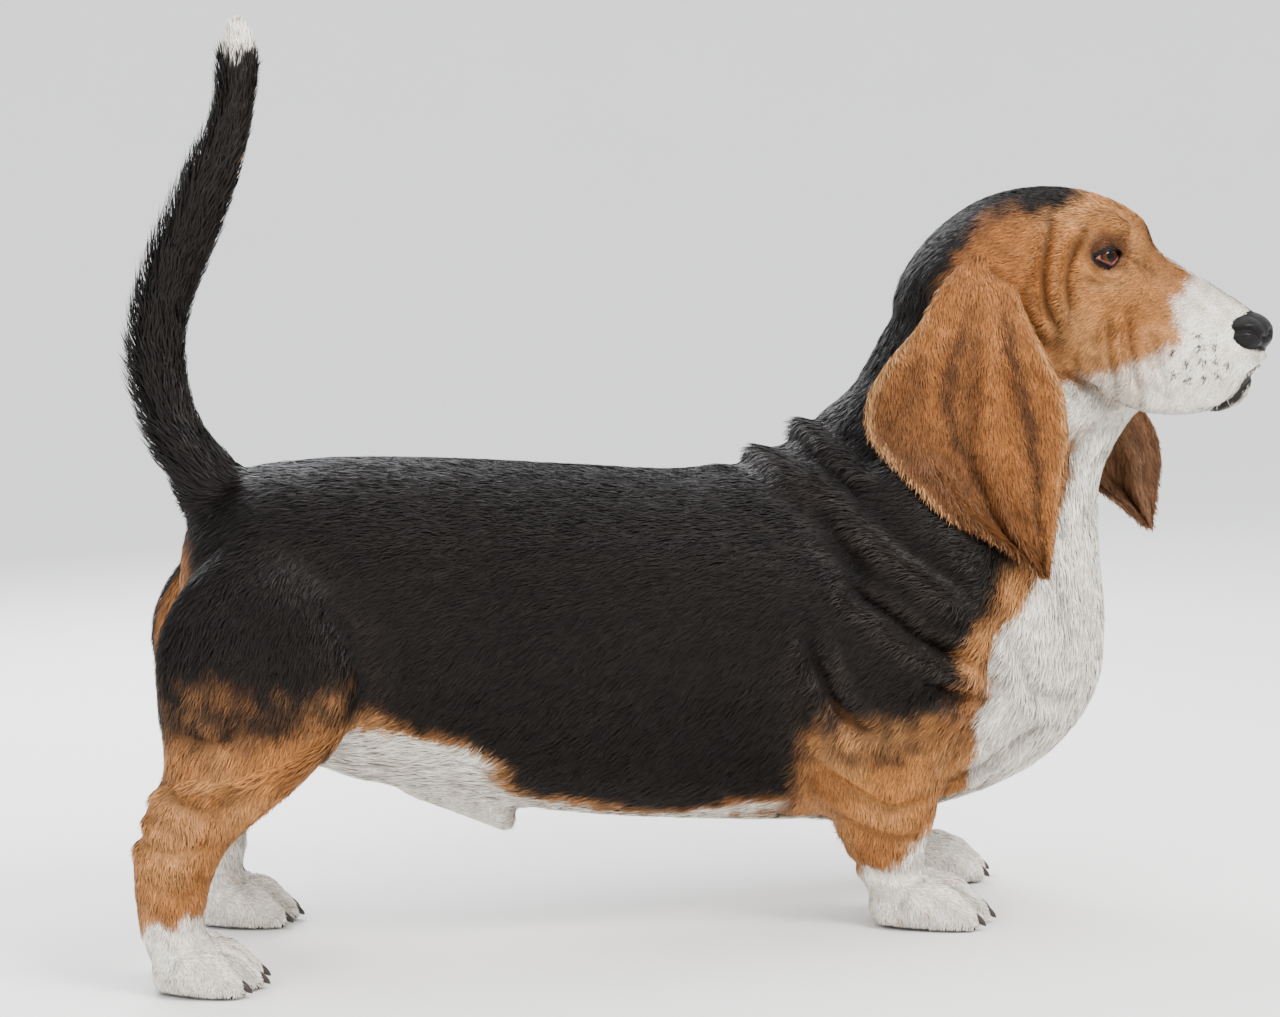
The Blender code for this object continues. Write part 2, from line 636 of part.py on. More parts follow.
def ear_sheet(ear, flesh, rows, columns):
    """The middle surface of an ear, in the head's axes, draped over the flesh."""
    keys = np.array([(*front, *back, out) for front, back, out in EAR_STATIONS])
    fine = smooth_through(keys, 8)
    at = np.linspace(0, len(fine) - 1, rows)
    station = np.stack([np.interp(at, np.arange(len(fine)), column) for column in fine.T], axis=1)
    down = np.linspace(0, 1, rows)[:, None]
    across = np.linspace(0, 1, columns)[None, :]
    flat = station[:, None, 0:2] * (1 - across[..., None]) + station[:, None, 2:4] * across[..., None]
    carried = ramp(down, 0.0, 0.7)
    ahead, rise = flat[..., 0] + ear.forward * carried, flat[..., 1] + ear.rise * carried
    out = np.repeat(station[:, 4:5], columns, axis=1)
    out -= 0.010 * np.maximum(across - 0.6, 0) ** 2 * 6
    rest = np.zeros_like(out)
    place = head_place()
    inward = (place.to_3x3() @ Vector((0, -ear.side, 0))).normalized()
    for i in range(rows):
        for j in range(columns):
            start = place @ Vector((ahead[i, j], 0.4 * ear.side, rise[i, j]))
            hit = flesh.ray_cast(start, inward, 0.38)[0]
            if hit is not None:
                rest[i, j] = 0.4 - (hit - start).length
    rest = np.where(rest > 0, rest + EAR_THICKNESS / 2 + EAR_CLEARANCE, 0)
    laid = ramp(down, 0.06, 0.20)
    out = np.where(rest > out, out * (1 - laid) + rest * laid, out)
    for _ in range(14):
        padded = np.pad(out, 1, mode="edge")
        even = (padded[:-2, 1:-1] + padded[2:, 1:-1] + padded[1:-1, :-2] + padded[1:-1, 2:]) / 4
        out = np.maximum(even, np.minimum(rest, even + 1) * (laid > 0.99))
    strength = ramp(down, 0.10, 0.35) * (1 - 0.6 * ramp(down, 0.8, 1.0))
    ripple = np.zeros_like(out)
    for where, height, width in EAR_FOLDS:
        ripple += height * np.exp(-(((across - where) / width) ** 2))
    ripple *= strength
    out += ripple - np.minimum(ripple, 0) * (rest > 0)
    return np.stack([ahead, out * ear.side, rise], axis=-1)


def shell(sheet, thickness):
    """A closed mesh round a sheet, with rounded edges."""
    rows, columns, _ = sheet.shape
    along = np.gradient(sheet, axis=0)
    over = np.gradient(sheet, axis=1)
    normal = np.cross(along, over)
    normal /= np.linalg.norm(normal, axis=2, keepdims=True) + 1e-12
    edge = np.abs(np.linspace(-1, 1, columns)) ** 6
    half = thickness / 2 * np.sqrt(np.clip(1 - edge, 0.06, 1))[None, :, None]
    ends = np.abs(np.linspace(-1, 1, rows)) ** 12
    half = half * np.sqrt(np.clip(1 - ends, 0.15, 1))[:, None, None]
    rings = np.concatenate([sheet + normal * half, (sheet - normal * half)[:, ::-1]], axis=1)
    place = head_place()
    into = bmesh.new()
    verts = [[into.verts.new(place @ Vector(p)) for p in ring] for ring in rings]
    into.faces.new(verts[0])
    into.faces.new(verts[-1][::-1])
    count = 2 * columns
    for a, b in zip(verts, verts[1:]):
        for i in range(count):
            j = (i + 1) % count
            into.faces.new((a[i], b[i], b[j], a[j]))
    bmesh.ops.recalc_face_normals(into, faces=into.faces[:])
    return into


# Nose, eyes and claws


def add_nose(into):
    """The nose leather, in place at the end of the muzzle."""
    place = head_place()
    ellipsoid(into, (0.2350, 0, 0.4210), (0.0206, 0.0200, 0.0164), place)
    ellipsoid(into, (0.2385, 0, 0.4105), (0.0120, 0.0078, 0.0090), place)
    for side in (1, -1):
        ellipsoid(into, (0.2295, 0.0150 * side, 0.4205), (0.0175, 0.0112, 0.0138), place)


def model_nose(skin):
    """Opens the nostrils and their slits, and marks the groove between them."""
    skin.smooth(3)
    head = in_head_axes(skin.co)
    ahead, across, height = head.T
    front = ramp(ahead, 0.225, 0.238)
    flat = np.stack([np.abs(across), height], axis=1)
    hole = np.exp(-((np.linalg.norm(flat - [0.0085, 0.4205], axis=1) / 0.0032) ** 2))
    slit, _ = distance_to_path(flat, ((0.0085, 0.4200), (0.0150, 0.4160), (0.0220, 0.4190), (0.0255, 0.4245)))
    groove = np.exp(-((across / 0.0014) ** 2)) * ramp(-height, -0.430, -0.424)
    depth = 0.0055 * hole * front
    depth += 0.0024 * np.exp(-((slit / 0.0016) ** 2)) * ramp(np.abs(across), 0.007, 0.011)
    depth += 0.0014 * groove * front
    skin.push(-depth)
    skin.smooth(1)
    skin.write()


def add_claw(into, paw, toe):
    """One claw, curving down from a toe towards the floor."""
    step, splay, back = toe
    tip = paw.length * 0.56
    high = paw.height
    place = toe_place(paw, step, splay, back)
    loft(
        into,
        [
            Section((tip - 0.004, high * 0.50), (tip - 0.004, high * 0.22), 0.0036),
            Section((tip + 0.005, high * 0.38), (tip + 0.003, high * 0.14), 0.0032),
            Section((tip + 0.0095, high * 0.17), (tip + 0.0065, high * 0.03), 0.0018),
        ],
        place=place,
        ring=6,
        per_span=1,
    )


# Parting


def new_object(name, mesh):
    obj = bpy.data.objects.new(name, mesh)
    bpy.context.scene.collection.objects.link(obj)
    return obj


def from_bmesh(name, shapes):
    """An object from a bmesh, which it frees."""
    mesh = bpy.data.meshes.new(name)
    shapes.to_mesh(mesh)
    shapes.free()
    return new_object(name, mesh)


def apply_modifiers(obj):
    """Replaces the object's mesh with its modifiers' result."""
    graph = bpy.context.evaluated_depsgraph_get()
    obj.data = bpy.data.meshes.new_from_object(obj.evaluated_get(graph))
    obj.modifiers.clear()


def fused(name, build, voxel):
    """An object with one closed skin round everything that build adds to a bmesh."""
    shapes = bmesh.new()
    build(shapes)
    obj = from_bmesh(name, shapes)
    remesh = obj.modifiers.new("Fuse", "REMESH")
    remesh.mode = "VOXEL"
    remesh.voxel_size = voxel
    apply_modifiers(obj)
    return obj


def copy_of(obj, name):
    return new_object(name, obj.data.copy())


def boolean(obj, tool, operation):
    """Cuts or joins the object with a closed tool."""
    cut = obj.modifiers.new("Cut", "BOOLEAN")
    cut.operation = operation
    cut.solver = "EXACT"
    cut.object = tool
    apply_modifiers(obj)


def grown(obj, distance):
    """A copy of the object with its surface moved out."""
    out = copy_of(obj, "grown")
    skin = Skin(out.data)
    skin.push(np.full(len(skin.co), distance))
    skin.write()
    return out


def keep_largest(obj):
    """Deletes all but the largest connected surface."""
    work = bmesh.new()
    work.from_mesh(obj.data)
    left, islands = set(work.faces), []
    while left:
        island, edge = set(), [left.pop()]
        while edge:
            face = edge.pop()
            island.add(face)
            for neighbour in (f for e in face.edges for f in e.link_faces if f in left):
                left.discard(neighbour)
                edge.append(neighbour)
        islands.append(island)
    islands.sort(key=len)
    bmesh.ops.delete(work, geom=[face for island in islands[:-1] for face in island], context="FACES")
    work.to_mesh(obj.data)
    work.free()


def slab(point, normal, reach):
    """A block whose base stands on the plane through the point, on the normal's side of it."""
    turn = Vector(normal).to_track_quat("Z", "Y").to_matrix().to_4x4()
    size = Matrix.Diagonal((*reach, 1))
    block = bmesh.new()
    lift = Matrix.Translation((0, 0, 0.5))
    bmesh.ops.create_cube(block, size=1.0, matrix=Matrix.Translation(point) @ turn @ size @ lift)
    return block


def tower(levels, side, grow):
    """Rectangles at rising heights, (z, rear x, front x, inner y), reaching out past the side."""
    block = bmesh.new()
    last = len(levels) - 1
    rings = []
    for i, (z, rear, front, inner) in enumerate(levels):
        z += grow * (1 if i == last else 0)
        corners = (
            (rear - grow, (inner - grow) * side),
            (front + grow, (inner - grow) * side),
            (front + grow, OUTSIDE * side),
            (rear - grow, OUTSIDE * side),
        )
        rings.append([block.verts.new((x, y, z)) for x, y in corners])
    block.faces.new(rings[0])
    block.faces.new(rings[-1][::-1])
    for a, b in zip(rings, rings[1:]):
        for i in range(4):
            j = (i + 1) % 4
            block.faces.new((a[i], b[i], b[j], a[j]))
    bmesh.ops.recalc_face_normals(block, faces=block.faces[:])
    return block


def part(obj, name, make):
    """Cuts off what lies in the shape that make returns, as a new object, with a gap between."""
    inside = copy_of(obj, name)
    for target, operation, grow in ((inside, "INTERSECT", 0.0), (obj, "DIFFERENCE", GAP)):
        tool = from_bmesh("tool", make(grow))
        boolean(target, tool, operation)
        bpy.data.objects.remove(tool)
        keep_largest(target)
    return inside


def part_at(obj, name, point, normal, reach):
    """Cuts off what lies on the normal's side of a plane."""
    way = Vector(normal).normalized()
    return part(obj, name, lambda grow: slab(Vector(point) - way * grow, way, reach))


def subtract(obj, other, clearance):
    """Makes room in the object round another, with a gap."""
    tool = grown(other, clearance)
    boolean(obj, tool, "DIFFERENCE")
    bpy.data.objects.remove(tool)
    keep_largest(obj)


FORE_RIGHT = Paw(0.155, -0.058, math.radians(7), 0.080, 0.036)
FORE_LEFT = Paw(0.196, 0.082, math.radians(9), 0.080, 0.036)
HIND_RIGHT = Paw(-0.364, -0.103, math.radians(4), 0.069, 0.034)
HIND_LEFT = Paw(-0.328, 0.098, math.radians(4), 0.069, 0.034)
FORE_HEEL, HIND_HEEL = 0.153, -0.360  # where a leg's sections put its heel
PAWS = {"fore_right": FORE_RIGHT, "fore_left": FORE_LEFT, "hind_right": HIND_RIGHT, "hind_left": HIND_LEFT}

# Where each kind of leg parts from the trunk: height, rear x, front x, inner y; and then its own cuts.
FORE_TOWER = (
    (0.000, 0.050, 0.330, 0.001),
    (0.060, 0.060, 0.300, 0.001),
    (0.074, 0.080, 0.262, 0.030),
    (0.110, 0.088, 0.252, 0.055),
    (0.150, 0.092, 0.250, 0.062),
    (0.215, 0.100, 0.246, 0.070),
)
HIND_TOWER = (
    (0.000, -0.450, -0.200, 0.001),
    (0.118, -0.450, -0.205, 0.020),
    (0.150, -0.450, -0.210, 0.045),
    (0.200, -0.450, -0.200, 0.052),
    (0.275, -0.420, -0.206, 0.060),
)
WRIST, ELBOW = 0.042, 0.118
PASTERN, HOCK = 0.040, 0.112


def add_all(into):
    add_trunk(into)
    add_sheath(into)
    add_tail(into)
    add_head(into)
    for name, paw in PAWS.items():
        side = 1 if paw.across > 0 else -1
        if name.startswith("fore"):
            add_foreleg(into, side, paw.heel - FORE_HEEL, paw.across)
        else:
            add_hindleg(into, side, paw.heel - HIND_HEEL, paw.across)
        add_paw(into, paw)


def in_head_axes(co):
    """Points in the head's own axes: forward, to its left, up."""
    inverse = np.array(head_place().inverted())
    return co @ inverse[:3, :3].T + inverse[:3, 3]


def refine_head(obj):
    """Halves the faces of the head, where the modelling is finest."""
    work = bmesh.new()
    work.from_mesh(obj.data)
    inverse = head_place().inverted()
    edges = [e for e in work.edges if (inverse @ e.verts[0].co).x > 0.06 and e.verts[0].co.z > 0.365]
    bmesh.ops.subdivide_edges(work, edges=edges, cuts=1, use_grid_fill=True)
    bmesh.ops.triangulate(work, faces=[f for f in work.faces if len(f.verts) > 4])
    work.to_mesh(obj.data)
    work.free()


def triangle_count(obj):
    obj.data.calc_loop_triangles()
    return len(obj.data.loop_triangles)


def thin(obj, triangles, group=None):
    """Thins the mesh to about that many triangles, only inside a vertex group if one is given."""
    modifier = obj.modifiers.new("Thin", "DECIMATE")
    modifier.ratio = min(1.0, triangles / triangle_count(obj))
    modifier.use_collapse_triangulate = True
    if group:
        modifier.vertex_group = group
        modifier.vertex_group_factor = 100.0
    apply_modifiers(obj)


def thin_body(obj, on_head):
    """Thins the flesh, with one share of triangles for the head and one for all the rest."""
    obj.vertex_groups.new(name="rest").add(np.where(on_head < 0.8)[0].tolist(), 1.0, "REPLACE")
    obj.vertex_groups.new(name="head").add(np.where(on_head > 0.2)[0].tolist(), 1.0, "REPLACE")
    corners = np.empty(triangle_count(obj) * 3, np.int64)
    obj.data.loop_triangles.foreach_get("vertices", corners)
    dense_head = int((on_head[corners.reshape(-1, 3)] >= 0.8).any(axis=1).sum())
    thin(obj, dense_head + BODY_TRIANGLES, "rest")
    thin(obj, HEAD_TRIANGLES + BODY_TRIANGLES, "head")
    obj.vertex_groups.clear()


def paint(obj, color, roughness):
    """Gives the object its own material and flat name."""
    material = bpy.data.materials.new(obj.name)
    material.use_nodes = True
    shader = material.node_tree.nodes["Principled BSDF"]
    shader.inputs["Base Color"].default_value = (*color, 1)
    shader.inputs["Roughness"].default_value = roughness
    shader.inputs["Metallic"].default_value = 0.0
    obj.data.materials.clear()
    obj.data.materials.append(material)


TAN = (0.42, 0.21, 0.09)
BLACK = (0.030, 0.022, 0.018)
WHITE = (0.78, 0.73, 0.65)
DARK_BROWN = (0.050, 0.020, 0.010)
SHADES = {"torso": BLACK, "tail": BLACK, "nose": (0.012, 0.011, 0.011)}


def main():
    for obj in list(bpy.data.objects):
        bpy.data.objects.remove(obj)
    body = fused("torso", add_all, VOXEL)
    refine_head(body)
    skin = Skin(body.data)
    on_head = sculpt(skin)
    thin_body(body, on_head)
    bare = BVHTree.FromObject(body, bpy.context.evaluated_depsgraph_get())

    nodes = {"torso": body}
    for name, paw in PAWS.items():
        end, hand = name.split("_")
        side = 1 if paw.across > 0 else -1
        levels = FORE_TOWER if end == "fore" else HIND_TOWER
        upper = part(body, f"{end}leg_upper_{hand}", lambda grow: tower(levels, side, grow))
        high, low_cut = (ELBOW, WRIST) if end == "fore" else (HOCK, PASTERN)
        middle = (paw.heel + 0.03, paw.across)
        below = (0.6, 0.6, 0.3)
        lower = part_at(upper, f"{end}leg_lower_{hand}", (*middle, high), (-0.1, 0, -1), below)
        foot = part_at(lower, f"{end}paw_{hand}", (*middle, low_cut), (0.1, 0, -1), below)
        for toe in TOES:
            claw = bmesh.new()
            add_claw(claw, paw, toe)
            tool = from_bmesh("claw", claw)
            boolean(foot, tool, "UNION")
            bpy.data.objects.remove(tool)
        keep_largest(foot)
        for piece in (upper, lower, foot):
            nodes[piece.name] = piece
    nodes["tail"] = part_at(body, "tail", (-0.309, 0, 0.338), (-0.52, 0, 0.85), (0.12, 0.4, 0.6))
    nodes["neck"] = part_at(body, "neck", (0.126, 0, 0.360), (0.4535, 0, 0.891), (1.2, 0.8, 0.6))
    head = part_at(nodes["neck"], "head", (0.195, 0, 0.443), (0.44, 0, 0.898), (1.0, 0.8, 0.4))
    nodes["head"] = head

    nose = fused("nose", add_nose, NOSE_VOXEL)
    model_nose(Skin(nose.data))
    thin(nose, NOSE_TRIANGLES)
    subtract(head, nose, GAP)
    nodes["nose"] = nose
    for name, side in (("eye_left", 1), ("eye_right", -1)):
        ball = bmesh.new()
        centre = head_place() @ eye_axes(side)[0]
        bmesh.ops.create_icosphere(ball, subdivisions=3, radius=EYE_RADIUS, matrix=Matrix.Translation(centre))
        nodes[name] = from_bmesh(name, ball)
        subtract(head, nodes[name], GAP)
    for name, ear in EARS.items():
        piece = from_bmesh(name, shell(ear_sheet(ear, bare, *EAR_GRID), EAR_THICKNESS))
        thin(piece, EAR_TRIANGLES)
        for other in ("head", "neck", "torso"):
            subtract(piece, nodes[other], GAP)
        nodes[name] = piece
    for name, obj in nodes.items():
        obj.name = name
        work = bmesh.new()
        work.from_mesh(obj.data)
        bmesh.ops.translate(work, verts=work.verts, vec=(-MIDDLE_OF_LENGTH, 0, 0))
        bmesh.ops.triangulate(work, faces=work.faces[:])
        work.to_mesh(obj.data)
        work.free()
        if name.startswith("eye"):
            paint(obj, DARK_BROWN, 0.15)
        else:
            paint(obj, SHADES.get(name, WHITE if "paw" in name or "leg" in name else TAN), 0.7)


main()
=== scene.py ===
"""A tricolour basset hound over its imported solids, in metres: +X forward, +Y its left, +Z up.

One skin of the solids' own shape lies inside them by the coat's depth, with a short coat of thin
tufts on it, draped ears, eyes in drooping lids, a wet nose, whiskers and claws.
"""

import math
from typing import NamedTuple

import bmesh
import bpy
import numpy as np
from mathutils import Matrix, Vector
from mathutils.bvhtree import BVHTree


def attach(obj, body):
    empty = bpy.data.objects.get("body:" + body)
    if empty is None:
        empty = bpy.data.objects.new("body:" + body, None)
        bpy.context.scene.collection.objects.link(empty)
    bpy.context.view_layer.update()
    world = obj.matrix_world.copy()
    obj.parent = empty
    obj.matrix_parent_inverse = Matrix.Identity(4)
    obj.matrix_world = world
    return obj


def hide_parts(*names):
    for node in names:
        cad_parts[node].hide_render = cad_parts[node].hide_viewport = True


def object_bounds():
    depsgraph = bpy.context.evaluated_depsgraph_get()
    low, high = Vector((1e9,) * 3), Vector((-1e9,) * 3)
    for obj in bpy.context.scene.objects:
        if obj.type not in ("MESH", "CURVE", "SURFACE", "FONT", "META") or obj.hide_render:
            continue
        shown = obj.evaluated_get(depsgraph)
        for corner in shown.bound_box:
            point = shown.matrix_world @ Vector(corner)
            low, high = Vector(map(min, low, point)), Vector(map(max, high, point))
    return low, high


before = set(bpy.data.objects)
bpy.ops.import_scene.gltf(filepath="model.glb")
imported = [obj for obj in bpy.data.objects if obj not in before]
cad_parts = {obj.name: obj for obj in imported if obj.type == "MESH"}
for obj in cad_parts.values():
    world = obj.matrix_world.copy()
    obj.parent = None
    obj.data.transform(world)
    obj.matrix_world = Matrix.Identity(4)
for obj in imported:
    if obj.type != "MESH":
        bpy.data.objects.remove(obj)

CAD_BOX = [list(corner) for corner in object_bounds()]
FLOOR = CAD_BOX[0][2]

# Driving dimensions of the animal, in metres.
EYE_RADIUS = 0.0115
IRIS_RADIUS = 0.0080
EYE_TURN = math.radians(56.0)  # from straight ahead
LID = 0.0016
LID_HALF_LENGTH = 0.0112
LID_SLANT = 0.12  # of the line between the eye's corners, from which both lids open
UPPER_LID, LOWER_LID = 0.0048, 0.0072
SOCKET = 0.0045  # how deep the eyes lie in the face
EAR_THICKNESS = 0.0048
EAR_CLEARANCE = 0.0012
EAR_COAT = 0.0010
EAR_ROOT_SINKS = 0.007
PAW_WIDTH = 0.080
TOE_PITCH = PAW_WIDTH * 0.235
TOE_GROOVE = 0.0050  # depth between the toes
HEAD_TURN = math.radians(-12.0)  # the head looks a little to the animal's right
HEAD_PIVOT = Vector((0.22, 0.0, 0.0))
MIDDLE_OF_LENGTH = 0.046  # from the middle of the back to the middle of the whole length
VOXEL, NOSE_VOXEL = 0.0026, 0.0007
EAR_GRID = (30, 24)  # points down and across an ear's middle surface
RING = 40  # points round a lofted section
RINGS_PER_SPAN = 6
COVER = 2.85  # how many tufts deep the coat lies
SKIN_SHARE = 0.41  # of its triangles that the skin keeps under the coat
CAMERA_LENS = 84.77
CAMERA_DISTANCE, CAMERA_HEIGHT = 2.2, 0.5
CAMERA_YAW, CAMERA_DOWN, CAMERA_ROLL = (math.radians(angle) for angle in (10.0, 5.0, 1.8))

# From the head's own axes, with x forward from the pivot, to the model's.
HEAD_PLACE = Matrix.Translation(HEAD_PIVOT) @ Matrix.Rotation(HEAD_TURN, 4, "Z")
HEAD_AXES = np.array(HEAD_PLACE)[:3, :3]

# Sections along each form: its top's x and z, its bottom's x and z, its half-width and then, unless they
# are 0, 0 and 2, the y of its middle, how much wider its top is, and its power: above 2, squarer.
PLAIN = (0.0, 0.0, 2.0)
TRUNK = (
    (-0.310, 0.328, -0.325, 0.215, 0.066, 0, -0.05),
    (-0.285, 0.349, -0.300, 0.165, 0.090),
    (-0.225, 0.355, -0.227, 0.126, 0.101, 0, 0.02, 2.1),
    (-0.138, 0.351, -0.147, 0.105, 0.104, 0, 0.04, 2.15),
    (-0.051, 0.343, -0.059, 0.088, 0.113, 0, 0, 2.2),
    (0.038, 0.336, 0.035, 0.078, 0.123, 0, -0.02, 2.2),
    (0.091, 0.345, 0.125, 0.072, 0.123, 0, -0.05, 2.1),
    (0.126, 0.366, 0.215, 0.076, 0.115, 0, -0.08),
    (0.149, 0.380, 0.296, 0.104, 0.102, 0, -0.06),
    (0.166, 0.395, 0.341, 0.153, 0.090, 0, -0.02),
    (0.177, 0.412, 0.350, 0.208, 0.082, 0, 0.04),
    (0.187, 0.430, 0.347, 0.263, 0.074, -0.002, 0.10),
    (0.197, 0.448, 0.349, 0.314, 0.066, -0.006, 0.16),
    (0.215, 0.474, 0.368, 0.352, 0.058, -0.012, 0.20),
    (0.245, 0.492, 0.385, 0.376, 0.046, -0.020, 0.15),
)
SHEATH = (
    (-0.180, 0.122, -0.178, 0.104, 0.009),
    (-0.144, 0.112, -0.142, 0.089, 0.013),
    (-0.110, 0.102, -0.108, 0.0735, 0.014),
)
TAIL = (
    (-0.262, 0.330, -0.312, 0.296, 0.028),
    (-0.285, 0.352, -0.334, 0.325, 0.025),
    (-0.307, 0.375, -0.353, 0.361, 0.021),
    (-0.319, 0.402, -0.364, 0.394, 0.019),
    (-0.322, 0.436, -0.369, 0.430, 0.018),
    (-0.317, 0.463, -0.364, 0.468, 0.017),
    (-0.308, 0.486, -0.354, 0.500, 0.0165),
    (-0.296, 0.513, -0.341, 0.529, 0.016),
    (-0.280, 0.555, -0.324, 0.564, 0.015),
    (-0.268, 0.600, -0.304, 0.600, 0.0130),
    (-0.262, 0.632, -0.296, 0.630, 0.0110),
    (-0.265, 0.654, -0.290, 0.655, 0.0080),
)
# In the head's own axes. The flews are given for the left.
SKULL = (
    (-0.022, 0.462, 0.012, 0.398, 0.040),
    (-0.014, 0.479, 0.030, 0.388, 0.051, 0, -0.05),
    (0.008, 0.504, 0.048, 0.384, 0.059, 0, -0.02),
    (0.045, 0.527, 0.072, 0.384, 0.063, 0, -0.04, 2.1),
    (0.090, 0.534, 0.098, 0.386, 0.062, 0, -0.04, 2.15),
    (0.130, 0.5265, 0.122, 0.388, 0.055, 0, 0.0, 2.2),
    (0.1595, 0.5085, 0.140, 0.388, 0.0445, 0, 0.06, 2.3),
    (0.1690, 0.4875, 0.156, 0.385, 0.0365, 0, 0.02, 2.5),
    (0.199, 0.466, 0.188, 0.378, 0.0335, 0, -0.14, 2.6),
    (0.226, 0.448, 0.218, 0.380, 0.0258, 0, -0.28, 2.5),
    (0.240, 0.438, 0.236, 0.394, 0.0190, 0, -0.22, 2.3),
)
JAW = (
    (0.060, 0.420, 0.066, 0.384, 0.030),
    (0.120, 0.412, 0.124, 0.380, 0.027),
    (0.180, 0.400, 0.182, 0.369, 0.022),
    (0.217, 0.394, 0.215, 0.3630, 0.0185),
    (0.2335, 0.397, 0.2285, 0.3680, 0.0140),
)
FLEW = (
    (0.106, 0.430, 0.112, 0.392, 0.012, 0.037),
    (0.134, 0.432, 0.138, 0.374, 0.012, 0.038),
    (0.166, 0.428, 0.168, 0.364, 0.0105, 0.035),
    (0.200, 0.420, 0.200, 0.3645, 0.010, 0.031),
    (0.222, 0.413, 0.221, 0.3740, 0.0095, 0.0235),
    (0.235, 0.411, 0.235, 0.3885, 0.0085, 0.0155),
    (0.2465, 0.411, 0.2450, 0.3960, 0.0070, 0.0070),
)
# Sections down a leg: the front's x and z, the rear's x and z, the half-width, how far out it stands, and
# how much of the paw's place and of its step forward it takes.
FORELEG = (
    (0.206, 0.338, 0.132, 0.324, 0.018, 0.074, 0.0, 0.0),
    (0.246, 0.282, 0.114, 0.270, 0.031, 0.086, 0.0, 0.0),
    (0.246, 0.215, 0.103, 0.200, 0.039, 0.090, 0.0, 0.1),
    (0.222, 0.160, 0.104, 0.150, 0.040, 0.090, 0.1, 0.3),
    (0.203, 0.115, 0.110, 0.112, 0.036, 0.090, 0.5, 0.6),
    (0.199, 0.080, 0.122, 0.078, 0.031, 0.090, 0.8, 0.9),
    (0.191, 0.054, 0.134, 0.052, 0.0285, 0.0, 1.0, 1.0),
    (0.193, 0.036, 0.144, 0.033, 0.028, 0.0, 1.0, 1.0),
    (0.200, 0.020, 0.152, 0.016, 0.026, 0.0, 1.0, 1.0),
)
HINDLEG = (
    (-0.228, 0.302, -0.300, 0.304, 0.018, 0.066, 0.0, 0.0),
    (-0.202, 0.258, -0.332, 0.280, 0.033, 0.076, 0.0, 0.0),
    (-0.198, 0.215, -0.355, 0.240, 0.041, 0.078, 0.1, 0.0),
    (-0.222, 0.170, -0.357, 0.195, 0.042, 0.078, 0.4, 0.1),
    (-0.258, 0.136, -0.353, 0.155, 0.036, 0.078, 0.6, 0.4),
    (-0.292, 0.110, -0.363, 0.128, 0.030, 0.078, 0.8, 0.8),
    (-0.310, 0.092, -0.374, 0.100, 0.028, 0.0, 1.0, 1.0),
    (-0.322, 0.066, -0.374, 0.070, 0.0265, 0.0, 1.0, 1.0),
    (-0.326, 0.044, -0.371, 0.042, 0.0265, 0.0, 1.0, 1.0),
    (-0.320, 0.024, -0.364, 0.018, 0.026, 0.0, 1.0, 1.0),
)


class Paw(NamedTuple):
    """Where a paw stands, its size, and the leg over it."""

    heel: float
    across: float
    turn_out: float
    length: float
    height: float
    leg: tuple
    leg_heel: float  # where the leg's sections and folds put the heel


PAWS = (
    Paw(0.155, -0.058, math.radians(7), 0.080, 0.036, FORELEG, 0.153),
    Paw(0.196, 0.082, math.radians(9), 0.080, 0.036, FORELEG, 0.153),
    Paw(-0.364, -0.103, math.radians(4), 0.069, 0.034, HINDLEG, -0.360),
    Paw(-0.328, 0.098, math.radians(4), 0.069, 0.034, HINDLEG, -0.360),
)
# Each toe's step across in pitches, its splay in degrees, and how far forward it stands.
TOES = ((-1.5, -10.0, -0.011), (-0.5, -3.0, 0.0), (0.5, 3.0, 0.0), (1.5, 10.0, -0.011))

